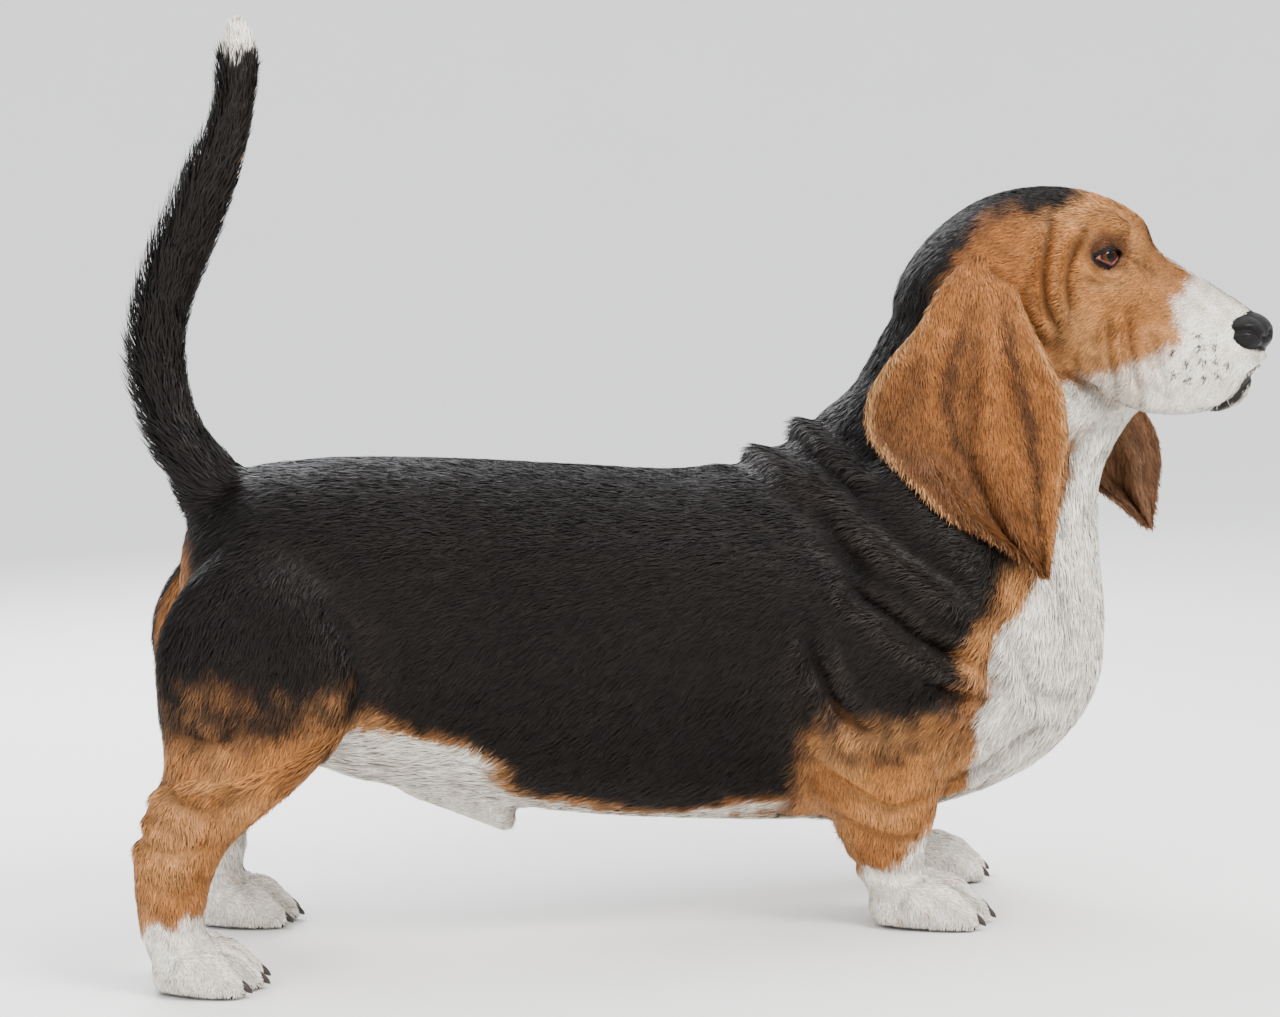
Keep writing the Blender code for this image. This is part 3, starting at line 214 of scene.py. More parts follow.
# Folds in side view: height, or depth below 0, width, and the x and z of each point of the path.
BODY_FOLDS = (
    (0.0054, 0.007, 0.115, 0.385, 0.123, 0.368, 0.132, 0.352, 0.147, 0.331, 0.158, 0.318),
    (0.0058, 0.009, 0.074, 0.372, 0.084, 0.358, 0.100, 0.334, 0.122, 0.318, 0.142, 0.302),
    (0.0088, 0.010, 0.117, 0.312, 0.140, 0.290, 0.160, 0.269, 0.180, 0.253, 0.198, 0.238, 0.218, 0.226),
    (-0.0078, 0.007, 0.128, 0.270, 0.134, 0.251, 0.155, 0.235, 0.176, 0.217, 0.206, 0.203, 0.226, 0.198),
    (0.0042, 0.007, 0.176, 0.202, 0.191, 0.192, 0.205, 0.186, 0.226, 0.186),
    (-0.0055, 0.006, 0.182, 0.186, 0.195, 0.179, 0.212, 0.173, 0.234, 0.172),
    (-0.0072, 0.006, 0.102, 0.222, 0.104, 0.207, 0.111, 0.184, 0.122, 0.166, 0.134, 0.157, 0.152, 0.156),
    (-0.0030, 0.007, 0.100, 0.240, 0.097, 0.205, 0.096, 0.173, 0.098, 0.140, 0.104, 0.110),
    (-0.0050, 0.007, 0.252, 0.236, 0.240, 0.212, 0.237, 0.188, 0.241, 0.168, 0.227, 0.153, 0.210, 0.126),
    (-0.0035, 0.007, 0.246, 0.222, 0.264, 0.189, 0.272, 0.170, 0.286, 0.165, 0.306, 0.166),
    (-0.0025, 0.007, 0.205, 0.108, 0.232, 0.110, 0.259, 0.125, 0.285, 0.146),
    (0.0030, 0.006, 0.350, 0.356, 0.330, 0.340, 0.320, 0.315, 0.317, 0.290),
    (-0.0025, 0.006, 0.336, 0.362, 0.314, 0.342, 0.303, 0.312, 0.300, 0.285),
    (-0.0025, 0.007, 0.288, 0.260, 0.294, 0.241, 0.303, 0.215),
    (-0.0040, 0.007, -0.346, 0.186, -0.331, 0.177, -0.313, 0.175, -0.300, 0.190),
    (-0.0045, 0.007, -0.356, 0.153, -0.343, 0.133, -0.321, 0.127, -0.298, 0.140),
    (-0.0030, 0.009, -0.245, 0.270, -0.222, 0.235, -0.214, 0.205, -0.222, 0.180, -0.242, 0.158),
)
LEG_FOLDS = (
    (-0.0056, 0.006, 0.100, 0.140, 0.111, 0.119, 0.131, 0.105, 0.149, 0.094, 0.161, 0.092, 0.190, 0.100),
    (-0.0034, 0.005, 0.116, 0.088, 0.135, 0.080, 0.149, 0.076, 0.164, 0.069, 0.190, 0.066),
    (-0.0022, 0.004, 0.126, 0.052, 0.141, 0.046, 0.158, 0.042, 0.176, 0.042, 0.192, 0.046),
    (-0.0032, 0.005, -0.380, 0.122, -0.362, 0.104, -0.342, 0.100, -0.318, 0.106),
    (-0.0024, 0.005, -0.374, 0.084, -0.356, 0.075, -0.338, 0.070, -0.322, 0.074),
    (-0.0018, 0.004, -0.372, 0.054, -0.354, 0.046, -0.336, 0.044, -0.322, 0.048),
)
# From here to the ears' folds everything is in the head's own axes.
HEAD_FOLDS = (
    (-0.0046, 0.0045, 0.094, 0.516, 0.086, 0.494, 0.082, 0.471, 0.084, 0.448, 0.096, 0.422),
    (-0.0042, 0.0042, 0.116, 0.503, 0.104, 0.486, 0.099, 0.464, 0.101, 0.436),
    (-0.0018, 0.0035, 0.134, 0.486, 0.149, 0.477, 0.166, 0.468),
    (-0.0020, 0.0035, 0.110, 0.466, 0.124, 0.460, 0.142, 0.462),
    (-0.0028, 0.0040, 0.092, 0.400, 0.107, 0.391, 0.122, 0.384),
    (-0.0026, 0.0034, 0.131, 0.442, 0.129, 0.420, 0.131, 0.398, 0.137, 0.380),
    (-0.0026, 0.0034, 0.146, 0.442, 0.145, 0.418, 0.148, 0.394, 0.155, 0.374),
    (-0.0020, 0.0030, 0.163, 0.424, 0.166, 0.400, 0.173, 0.380),
    (0.0034, 0.0045, 0.116, 0.508, 0.134, 0.508, 0.150, 0.497),
)
# The front of the mouth's edge, the upper lip's edge and the black crown's edge, as x and z of each point,
# and the white blaze's half-width at each x.
MOUTH = (0.199, 0.3665, 0.213, 0.370, 0.224, 0.379, 0.233, 0.392, 0.250, 0.401)
LIP_EDGE = (0.100, 0.392, 0.123, 0.382, 0.137, 0.375, 0.158, 0.368, *MOUTH)
CROWN_EDGE = (-0.030, 0.415, -0.010, 0.452, 0.010, 0.478, 0.035, 0.500, 0.060, 0.514, 0.090, 0.524)
CROWN_EDGE += (0.125, 0.532)
BLAZE_HALF_WIDTH = (0.060, 0.0, 0.085, 0.0030, 0.120, 0.0055, 0.150, 0.0075, 0.175, 0.0150)
NOSE_CENTRE = np.array((0.2350, 0.0, 0.4210))
WHISKER_ROOTS = (0.196, 0.421, 0.197, 0.413, 0.207, 0.414, 0.186, 0.402, 0.198, 0.403, 0.208, 0.404)
WHISKER_ROOTS += (0.187, 0.391, 0.198, 0.392, 0.209, 0.394, 0.176, 0.410, 0.176, 0.396, 0.217, 0.400)
# Stations down an ear: its front edge's x and z, its back edge's x and z, and its distance out.
EAR_STATIONS = (
    (0.058, 0.483, 0.030, 0.486, 0.054),
    (0.063, 0.452, 0.008, 0.464, 0.068),
    (0.076, 0.420, -0.012, 0.434, 0.078),
    (0.089, 0.392, -0.034, 0.410, 0.083),
    (0.093, 0.362, -0.049, 0.384, 0.085),
    (0.090, 0.335, -0.048, 0.360, 0.085),
    (0.086, 0.308, -0.025, 0.333, 0.085),
    (0.082, 0.280, 0.006, 0.302, 0.084),
    (0.079, 0.263, 0.044, 0.279, 0.083),
    (0.078, 0.255, 0.068, 0.258, 0.082),
)
# Lengthwise folds of an ear: place from front edge 0 to back edge 1, height out, width.
EAR_FOLDS = (
    (0.06, 0.0035, 0.06),
    (0.20, -0.0070, 0.07),
    (0.38, 0.0075, 0.10),
    (0.58, -0.0045, 0.09),
    (0.78, 0.0055, 0.10),
)


class Ear(NamedTuple):
    """One ear: its side, and how far forward and up its lower half is carried, over the cheek."""

    side: int
    forward: float
    rise: float


EARS = {"ear_right": Ear(-1, 0.0, 0.0), "ear_left": Ear(1, 0.097, 0.018)}

# Edges of the body's parts and markings in side view, as x and z of each point, or z and x where upright.
BELLY_EDGE = (
    -0.300, 0.150, -0.245, 0.172, -0.210, 0.176, -0.189, 0.173, -0.162, 0.162, -0.134, 0.146,
    -0.106, 0.123, -0.085, 0.105, -0.040, 0.094, 0.060, 0.090, 0.150, 0.100,
)
CHEST_EDGE = (
    0.090, 0.160, 0.125, 0.189, 0.140, 0.212, 0.157, 0.224, 0.172, 0.236, 0.198, 0.234,
    0.218, 0.238, 0.232, 0.256, 0.260, 0.272, 0.300, 0.296, 0.340, 0.312, 0.365, 0.330,
)
THIGH_FRONT = (0.044, -0.326, 0.092, -0.310, 0.110, -0.292, 0.136, -0.258, 0.170, -0.222, 0.215, -0.198)
TAIL_LINE = (0.330, -0.300, 0.375, -0.334, 0.402, -0.341, 0.436, -0.346, 0.466, -0.341, 0.500, -0.331)
TAIL_LINE += (0.529, -0.318, 0.560, -0.302, 0.600, -0.286, 0.632, -0.279, 0.656, -0.278)
SHEATH_LINE = (-0.180, 0.104, -0.142, 0.094, -0.105, 0.086)

BLACK = (0.0125, 0.0095, 0.0080)
# Painted highlight, added to the colour along the folds' ridges.
RIDGE_HIGHLIGHT = (0.020, 0.016, 0.014)  # added along the ridges, where it shows on black
RUST = (0.240, 0.092, 0.030)
TAN = (0.400, 0.185, 0.070)
FAWN = (0.560, 0.330, 0.160)
WHITE = (0.800, 0.750, 0.670)
BARE = (0.020, 0.014, 0.013)  # dark bare skin
PUPIL = (0.006, 0.004, 0.003)
# Painted shade round the eyes.
EYE_SHADE = (0.085, 0.034, 0.015)

# A tuft's length, its width, and how steeply it rises, over each part of the animal.
ON_BODY = (0.0120, 0.00088, 0.14)
ON_NECK = (0.0125, 0.00088, 0.15)
ON_THIGH = (0.0125, 0.00090, 0.15)
ON_BELLY = (0.0140, 0.00090, 0.18)
ON_LEG = (0.0080, 0.00080, 0.14)
ON_PAW = (0.0045, 0.00065, 0.13)
ON_TAIL = (0.0150, 0.00110, 0.20)
ON_BRUSH = (0.0240, 0.00120, 0.34)
ON_HEAD = (0.0062, 0.00065, 0.15)
ON_MUZZLE = (0.0042, 0.00055, 0.14)
ON_LIDS = (0.0026, 0.00040, 0.12)
ON_EAR = (0.0080, 0.00080, 0.13)
ON_SHEATH = (0.0055, 0.00065, 0.15)
TUFT_PATCH = 0.0015  # half of a tuft's place in its map
PATCH = np.array([(-1, -1), (1, -1), (1, 0), (-1, 0), (0, 1)]) * TUFT_PATCH

# Each light's place, the height that it aims at over the middle, its size, its power and its colour.
LIGHTS = {
    "key": ((1.3, -1.9, 2.1), 0.25, 1.05, 75, (1.0, 0.97, 0.93)),
    "fill": ((-1.9, -1.6, 1.1), 0.25, 1.8, 22, (1.0, 1.0, 1.0)),
    "back": ((-0.6, 1.8, 1.7), 0.30, 1.4, 45, (0.95, 0.97, 1.0)),
    "top": ((0.1, 0.0, 2.6), 0.20, 2.2, 30, (1.0, 1.0, 1.0)),
}


# Numbers


def ramp(value, low, high):
    """0 below low, 1 above high, and smooth between."""
    t = np.clip((value - low) / (high - low), 0, 1)
    return t * t * (3 - 2 * t)


def bell(off, width):
    """1 where off is 0, falling away over about the width."""
    return np.exp(-((off / width) ** 2))


def go_over(out, target, share):
    """Takes rows of numbers over to a target, by each row's share."""
    out += (np.asarray(target, float) - out) * share[..., None]


def blend(start, *layers):
    """Rows of numbers that start from one value and go over to each layer's value by its shares."""
    out = np.broadcast_to(np.asarray(start, float), (len(layers[0][1]), np.shape(start)[-1])).copy()
    for value, share in layers:
        go_over(out, value, share)
    return out


def vectors(*parts):
    """Rows of three from their parts, each one number or an array."""
    return np.stack(np.broadcast_arrays(*parts), axis=-1).astype(float)


def moved(co, matrix):
    """Points carried by a matrix."""
    matrix = np.array(matrix)
    return co @ matrix[:3, :3].T + matrix[:3, 3]


def in_head_axes(co):
    """Points in the head's own axes: forward, to its left, up."""
    return moved(co, HEAD_PLACE.inverted())


def along_edge(value, edge):
    """Reads an edge: its second coordinate at each value of the first."""
    return np.interp(value, edge[0::2], edge[1::2])


def wobble(co, size, seed, waves=9):
    """Smooth values from about -1 to 1 that change over about that size."""
    rng = np.random.default_rng(seed)
    out = np.zeros(len(co))
    for _ in range(waves):
        way = rng.normal(size=3)
        way *= rng.uniform(0.6, 1.5) / np.linalg.norm(way)
        out += np.sin(co @ (way * 2 * np.pi / size / 1.6) + rng.uniform(0, 2 * np.pi))
    return out / math.sqrt(waves)


def smooth_through(keys, per_span):
    """Points on a smooth curve through the rows of keys, with per_span steps to each span."""
    keys = np.asarray(keys, float)
    chord = np.linalg.norm(np.diff(keys[:, :4], axis=0), axis=1) + 1e-9
    at = np.concatenate([[0.0], np.cumsum(np.sqrt(chord))])
    slopes = np.gradient(keys, at, axis=0)
    out = []
    for i in range(len(keys) - 1):
        span = at[i + 1] - at[i]
        for t in np.arange(per_span) / per_span:
            out.append(
                (2 * t**3 - 3 * t**2 + 1) * keys[i]
                + (t**3 - 2 * t**2 + t) * span * slopes[i]
                + (3 * t**2 - 2 * t**3) * keys[i + 1]
                + (t**3 - t**2) * span * slopes[i + 1]
            )
    out.append(keys[-1])
    return np.array(out)


def distance_to_path(points, path):
    """Distance from 2-D points to a path, and how far along it, from 0 to 1, the nearest place is."""
    path = np.reshape(path, (-1, 2))
    lengths = np.linalg.norm(np.diff(path, axis=0), axis=1)
    starts = np.concatenate([[0], np.cumsum(lengths)])
    best, along = np.full(len(points), 1e9), np.zeros(len(points))
    for i, length in enumerate(lengths):
        way = (path[i + 1] - path[i]) / length
        t = np.clip((points - path[i]) @ way, 0, length)
        off = np.linalg.norm(points - path[i] - t[:, None] * way, axis=1)
        nearer = off < best
        best[nearer] = off[nearer]
        along[nearer] = (starts[i] + t[nearer]) / starts[-1]
    return best, along


# Meshes


def rows_of(items, name, kind=np.float32, width=3):
    """One attribute of a mesh's points, edges or triangles, as rows of numbers."""
    out = np.empty(len(items) * width, kind)
    items.foreach_get(name, out)
    return out.reshape(-1, width)


def new_object(name, mesh):
    obj = bpy.data.objects.new(name, mesh)
    bpy.context.scene.collection.objects.link(obj)
    return obj


def from_bmesh(name, shapes, material=None):
    """An object from a bmesh, which it frees: smooth and with the material, where one is given."""
    mesh = bpy.data.meshes.new(name)
    shapes.to_mesh(mesh)
    shapes.free()
    if material:
        mesh.shade_smooth()
        mesh.materials.append(material)
    return new_object(name, mesh)


def apply_modifiers(obj):
    """Replaces the object's mesh with its modifiers' result."""
    graph = bpy.context.evaluated_depsgraph_get()
    obj.data = bpy.data.meshes.new_from_object(obj.evaluated_get(graph))
    obj.modifiers.clear()


def fused(name, build, voxel):
    """An object with one closed skin round everything that build adds to a bmesh."""
    shapes = bmesh.new()
    build(shapes)
    obj = from_bmesh(name, shapes)
    remesh = obj.modifiers.new("Fuse", "REMESH")
    remesh.mode = "VOXEL"
    remesh.voxel_size = voxel
    apply_modifiers(obj)
    return obj


def settled(obj):
    """Shifts an object's mesh from the animal's axes to the part's."""
    obj.data.transform(Matrix.Translation((-MIDDLE_OF_LENGTH, 0, 0)))
    return obj


def mesh_from(name, co, faces, material, colour=None, uv=None, normals=None):
    """An object from arrays, shifted from the animal's axes to the part's."""
    mesh = bpy.data.meshes.new(name)
    mesh.vertices.add(len(co))
    mesh.vertices.foreach_set("co", (co - [MIDDLE_OF_LENGTH, 0, 0]).astype(np.float32).ravel())
    mesh.loops.add(faces.size)
    mesh.loops.foreach_set("vertex_index", faces.astype(np.int32).ravel())
    mesh.polygons.add(len(faces))
    mesh.polygons.foreach_set("loop_start", np.arange(len(faces), dtype=np.int32) * 3)
    mesh.update(calc_edges=True)
    mesh.shade_smooth()
    if colour is not None:
        set_colour(mesh, colour)
    if uv is not None:
        layer = mesh.uv_layers.new(name="OFBake")
        layer.uv.foreach_set("vector", uv[faces.ravel()].astype(np.float32).ravel())
    if normals is not None:
        layer = mesh.attributes.new("custom_normal", "FLOAT_VECTOR", "POINT")
        layer.data.foreach_set("vector", normals.astype(np.float32).ravel())
    mesh.materials.append(material)
    return new_object(name, mesh)


def set_colour(mesh, colour):
    """Stores a colour for each point, under the name that the materials read."""
    layer = mesh.color_attributes.new(name="coat", type="FLOAT_COLOR", domain="POINT")
    layer.data.foreach_set("color", np.hstack([colour, np.ones((len(colour), 1))]).astype(np.float32).ravel())


def bridge(into, rings):
    """Adds quads between each ring of a bmesh's points and the next."""
    faces = []
    for a, b in zip(rings, rings[1:]):
        for i in range(len(a)):
            j = (i + 1) % len(a)
            faces.append(into.faces.new((a[i], b[i], b[j], a[j])))
    return faces


def closed_tube(into, rings, place):
    """Adds to the bmesh a closed tube through rings of points."""
    verts = [[into.verts.new(place @ Vector(point)) for point in ring] for ring in rings]
    faces = [into.faces.new(verts[0]), into.faces.new(verts[-1][::-1]), *bridge(into, verts)]
    bmesh.ops.recalc_face_normals(into, faces=faces)


def ring_triangles(rings, sides):
    """Triangles between each ring of numbered points and the next."""
    i, j = np.meshgrid(np.arange(rings - 1), np.arange(sides), indexing="ij")
    a, b = (i * sides + j).ravel(), (i * sides + (j + 1) % sides).ravel()
    return np.concatenate([np.stack([a, a + sides, b + sides], 1), np.stack([a, b + sides, b], 1)])


def tube(path, radii, sides, flatten=1.0, flat_way=(0, 0, 1)):
    """A round closed tube along a path: points and triangles."""
    along = np.gradient(path, axis=0)
    along /= np.linalg.norm(along, axis=1)[:, None] + 1e-12
    first = np.cross(along, np.array(flat_way, float))
    first /= np.linalg.norm(first, axis=1)[:, None] + 1e-12
    second = np.cross(along, first)
    turn = np.arange(sides) * 2 * np.pi / sides
    ring = first[:, None] * np.cos(turn)[:, None] + second[:, None] * (np.sin(turn) * flatten)[:, None]
    co = (path[:, None] + ring * radii[:, None, None]).reshape(-1, 3)
    j = np.arange(sides)
    k, last = (j + 1) % sides, len(co) - sides
    start, end = (np.full(sides, len(co) + i) for i in (0, 1))
    caps = [np.stack([start, j, k], 1), np.stack([end, last + k, last + j], 1)]
    faces = np.concatenate([ring_triangles(len(path), sides), *caps])
    return np.concatenate([co, path[:1], path[-1:]]), faces


def joined(parts):
    """Points and triangles of several meshes as one."""
    co, faces, start = [], [], 0
    for points, triangles in parts:
        co.append(points)
        faces.append(triangles + start)
        start += len(points)
    return np.concatenate(co), np.concatenate(faces)


class Skin:
    """A dense mesh as arrays, so that its points can be moved by formulas."""

    def __init__(self, mesh):
        self.mesh = mesh
        self.co = rows_of(mesh.vertices, "co").astype(float)
        edges = rows_of(mesh.edges, "vertices", np.int32, 2)
        self.ends = np.concatenate([edges, edges[:, ::-1]])
        self.degree = np.bincount(self.ends[:, 0], minlength=len(self.co)).astype(float)

    def write(self):
        self.mesh.vertices.foreach_set("co", self.co.astype(np.float32).ravel())
        self.mesh.update()

    def push(self, distance):
        """Moves every point along its normal by its own distance."""
        self.write()
        self.co += rows_of(self.mesh.vertex_normals, "vector").astype(float) * distance[:, None]

    def smooth(self, rounds, weight=1.0):
        """Evens the surface, by weight at each point."""
        weight = np.broadcast_to(weight, len(self.co))[:, None] * 0.5
        start, end = self.ends.T
        for _ in range(rounds):
            mean = [np.bincount(start, column[end], minlength=len(self.co)) for column in self.co.T]
            self.co += (np.stack(mean, axis=1) / self.degree[:, None] - self.co) * weight


class Surface:
    """A mesh's triangles with their points' normals, from which roots are taken."""

    def __init__(self, mesh):
        self.co = rows_of(mesh.vertices, "co").astype(float)
        self.normal = rows_of(mesh.vertex_normals, "vector").astype(float)
        mesh.calc_loop_triangles()
        self.faces = rows_of(mesh.loop_triangles, "vertices", np.int32)
        a, b, c = (self.co[self.faces[:, i]] for i in range(3))
        self.area = np.linalg.norm(np.cross(b - a, c - a), axis=1) / 2
        self.middle = (a + b + c) / 3

    def roots(self, chosen, per_area, rng):
        """Points spread over the chosen faces by density, and the way the skin faces at each."""
        share = np.cumsum(self.area[chosen] * per_area[chosen])
        count = int(share[-1])
        picked = np.searchsorted(share, (np.arange(count) + rng.uniform(0, 1, count)) * share[-1] / count)
        faces = self.faces[chosen][np.minimum(picked, len(share) - 1)]
        a, b = rng.uniform(0, 1, (2, count))
        flip = a + b > 1
        a[flip], b[flip] = 1 - a[flip], 1 - b[flip]
        weight = np.stack([1 - a - b, a, b], axis=1)[..., None]
        facing = (self.normal[faces] * weight).sum(axis=1)
        facing /= np.linalg.norm(facing, axis=1)[:, None]
        return (self.co[faces] * weight).sum(axis=1), facing


# The solids' own forms, lofted again


def ring_points(row):
    """The points round one section."""
    top, bottom = np.array([row[0], 0, row[1]]), np.array([row[2], 0, row[3]])
    half_width, middle, wider, power = row[4:8]
    turn = np.arange(RING) * 2 * np.pi / RING
    up, out = (np.sign(way) * np.abs(way) ** (2 / power) for way in (np.cos(turn), np.sin(turn)))
    points = (top + bottom) / 2 + np.outer(up, (top - bottom) / 2)
    points[:, 1] = middle + half_width * (1 + wider * up) * out
    return points


def rounded(end, inner, bulge):
    """Smaller and smaller rings, out from the end of a loft."""
    centre = end.mean(axis=0)
    out = centre - inner.mean(axis=0)
    out /= np.linalg.norm(out) + 1e-9
    angles = np.radians((25, 45, 62, 76))
    return [centre + (end - centre) * math.cos(a) + out * bulge * math.sin(a) for a in angles]


def loft(into, sections, start_bulge, end_bulge, place=Matrix.Identity(4)):
    """Adds to the bmesh a closed tube through the sections, its ends rounded out by the bulges."""
    full = [(*section, *PLAIN[len(section) - 5 :]) for section in sections]
    rings = [ring_points(row) for row in smooth_through(full, RINGS_PER_SPAN)]
    start, end = rounded(rings[0], rings[1], start_bulge), rounded(rings[-1], rings[-2], end_bulge)
    closed_tube(into, [*start[::-1], *rings, *end], place)


def ellipsoid(into, centre, radii):
    """Adds to the bmesh a closed ellipsoid in the head's axes."""
    matrix = HEAD_PLACE @ Matrix.Translation(centre) @ Matrix.Diagonal((*radii, 1))
    bmesh.ops.create_icosphere(into, subdivisions=3, radius=1.0, matrix=matrix)


def leg_sections(paw):
    """A leg's sections, the lower the more over its paw."""
    side = math.copysign(1, paw.across)
    out = []
    for front_x, front_z, rear_x, rear_z, half_width, stands_out, over_paw, with_paw in paw.leg:
        middle = stands_out * side * (1 - over_paw) + paw.across * over_paw
        move = (paw.heel - paw.leg_heel) * with_paw
        out.append((front_x + move, front_z, rear_x + move, rear_z, half_width, middle))
    return out


def paw_place(paw):
    """From the paw's own axes, heel at the origin and toes along x, to the model's."""
    turn = math.copysign(paw.turn_out, paw.across)
    return Matrix.Translation((paw.heel, paw.across, 0)) @ Matrix.Rotation(turn, 4, "Z")


def toe_place(paw, step, splay, back):
    """From a toe's own axes, with its knuckle's root at the origin, to the model's."""
    root = Matrix.Translation((paw.length * 0.42 + back, step * TOE_PITCH, 0))
    return paw_place(paw) @ root @ Matrix.Rotation(math.radians(splay), 4, "Z")


def add_paw(into, paw):
    """A broad paw: heel and four arched toes over a pad, its sole a little under the floor."""
    high, long, toe_long = paw.height, paw.length, paw.length * 0.56
    heel = (
        (0.004, high * 0.80, 0.006, 0.000, PAW_WIDTH * 0.30, 0, -0.12, 2.3),
        (long * 0.26, high * 1.02, long * 0.26, -0.002, PAW_WIDTH * 0.42, 0, -0.2, 2.4),
        (long * 0.50, high * 0.94, long * 0.50, -0.002, PAW_WIDTH * 0.44, 0, -0.2, 2.4),
        (long * 0.70, high * 0.62, long * 0.70, 0.000, PAW_WIDTH * 0.36, 0, -0.1, 2.3),
    )
    loft(into, heel, 0.010, 0.008, paw_place(paw))
    for step, splay, back in TOES:
        thick = PAW_WIDTH * (0.136 if abs(step) < 1 else 0.130)
        toe = (
            (0.000, high * 0.92, 0.000, 0.004, thick * 0.9),
            (toe_long * 0.36, high * 1.00, toe_long * 0.34, 0.000, thick),
            (toe_long * 0.68, high * 0.86, toe_long * 0.66, -0.002, thick * 1.04),
            (toe_long * 0.90, high * 0.58, toe_long * 0.92, -0.001, thick * 0.92),
        )
        loft(into, toe, 0.006, 0.009, toe_place(paw, step, splay, back))


def add_head(into):
    """Domed skull, deep square muzzle, lower jaw, and on each side a flew, a brow and a cheekbone."""
    loft(into, SKULL, 0.010, 0.008, HEAD_PLACE)
    loft(into, JAW, 0.010, 0.008, HEAD_PLACE)
    for side in (1, -1):
        loft(into, [(*row[:5], row[5] * side) for row in FLEW], 0.008, 0.005, HEAD_PLACE)
        ellipsoid(into, (0.131, 0.036 * side, 0.494), (0.019, 0.013, 0.011))
        ellipsoid(into, (0.062, 0.052 * side, 0.470), (0.026, 0.014, 0.020))


def add_all(into):
    """Every form of the body, closed, each running into the next."""
    loft(into, TRUNK, 0.020, 0.020)
    loft(into, SHEATH, 0.008, 0.012)
    loft(into, TAIL, 0.010, 0.016)
    add_head(into)
    for paw in PAWS:
        loft(into, leg_sections(paw), 0.010, 0.006)
        add_paw(into, paw)


# Folds, toes and lids


def fold(flat, height, width, *path):
    """Lift of a fold along a path on flat coordinates: a ridge with a furrow each side, or inside out."""
    path = np.reshape(path, (-1, 2))
    off, along = distance_to_path(flat, smooth_through(np.hstack([path, path]), 5)[:, :2])
    ends = ramp(along, 0.0, 0.22) * (1 - ramp(along, 0.78, 1.0))
    return height * ends * (bell(off, width) - 0.4 * bell(off - 1.8 * width, width))


def toe_grooves(co, paw):
    """Depth of the grooves between a paw's toes."""
    ahead, across, height = moved(co, paw_place(paw).inverted()).T
    pitch = TOE_PITCH * (1 + 0.18 * ahead / paw.length)
    off = np.min([np.abs(across - between * pitch) for between in (-1, 0, 1)], axis=0)
    over_toes = ramp(ahead, paw.length * 0.32, paw.length * 0.55) * ramp(height, 0.003, 0.010)
    return TOE_GROOVE * bell(off, 0.0024) * over_toes


def model_folds(skin, on_head):
    """The folds of the trunk and of the legs, and the grooves between the toes."""
    x, y, z = skin.co.T
    flat = skin.co[:, [0, 2]]
    lift = np.zeros(len(flat))
    for row in BODY_FOLDS:
        lift += fold(flat, *row) * (1 - on_head)
    for paw in PAWS:
        mine = (y * paw.across > 0) & (np.abs(x - paw.heel - 0.03) < 0.1) & (z < 0.14)
        for row in LEG_FOLDS:
            lift[mine] += fold(flat[mine] - [paw.heel - paw.leg_heel, 0], *row)
        lift[mine] -= toe_grooves(skin.co[mine], paw)
    skin.push(lift)


def model_head(skin, on_head):
    """The folds of the head, the mouth's edge, and the grooves down the brow and the upper lip."""
    head = in_head_axes(skin.co)
    ahead, across, height = head.T
    flat = head[:, [0, 2]]
    lift = sum(fold(flat, *row) for row in HEAD_FOLDS) * ramp(np.abs(across), 0.010, 0.024)
    mouth, _ = distance_to_path(flat, MOUTH)
    lift -= 0.0022 * bell(mouth, 0.0016) * ramp(ahead, 0.197, 0.212)
    brow = bell(across, 0.005) * ramp(ahead, 0.085, 0.12) * (1 - ramp(ahead, 0.165, 0.185))
    lift -= 0.0018 * brow * ramp(height, 0.44, 0.47)
    lip = bell(across, 0.0022) * ramp(ahead, 0.225, 0.24) * (1 - ramp(height, 0.405, 0.415))
    lift -= 0.0030 * lip * ramp(height, 0.378, 0.390)
    skin.push(lift * on_head)


def eye_axes(side):
    """An eye's centre, and the directions it looks, to its front corner, and up, in the head's axes."""
    looks = Vector((math.cos(EYE_TURN), math.sin(EYE_TURN) * side, 0.05)).normalized()
    up = (Vector((0, 0, 1)) - looks * looks.z).normalized()
    front = looks.cross(up) * side
    surface = Vector((0.131, 0.0505 * side, 0.481))
    return surface - looks * (EYE_RADIUS - 0.0005), looks, front, up


def from_eye(head, side):
    """How far points in the head's axes are from an eye's centre: the way it looks, ahead and up."""
    centre, *axes = eye_axes(side)
    return [(head - np.array(centre)) @ np.array(axis) for axis in axes]


def eye_distance(head, side):
    """How far points in the head's axes are from an eye's centre in all."""
    return np.linalg.norm(head - np.array(eye_axes(side)[0]), axis=1)


def by_eye(side, out, ahead, rise):
    """Points in the animal's axes at distances out, ahead and up from an eye's centre."""
    centre, *axes = eye_axes(side)
    co = np.array(HEAD_PLACE @ centre)
    for distance, axis in zip((out, ahead, rise), axes):
        co = co + distance[..., None] * (HEAD_AXES @ np.array(axis))
    return co


def near_eyes(co):
    """1 round the eyes, falling to 0 a little way off."""
    head = in_head_axes(co)
    return np.maximum(*(1 - ramp(eye_distance(head, side), 0.020, 0.026) for side in (1, -1)))


def lid_gap(ahead, upper=UPPER_LID, lower=LOWER_LID, half_length=LID_HALF_LENGTH):
    """How far up and down the lids are open, from the line between the eye's corners."""
    reach = np.clip(1 - np.abs(ahead) / half_length, 0, 1)
    return upper * np.sqrt(reach * (2 - reach)), -lower * reach**0.8


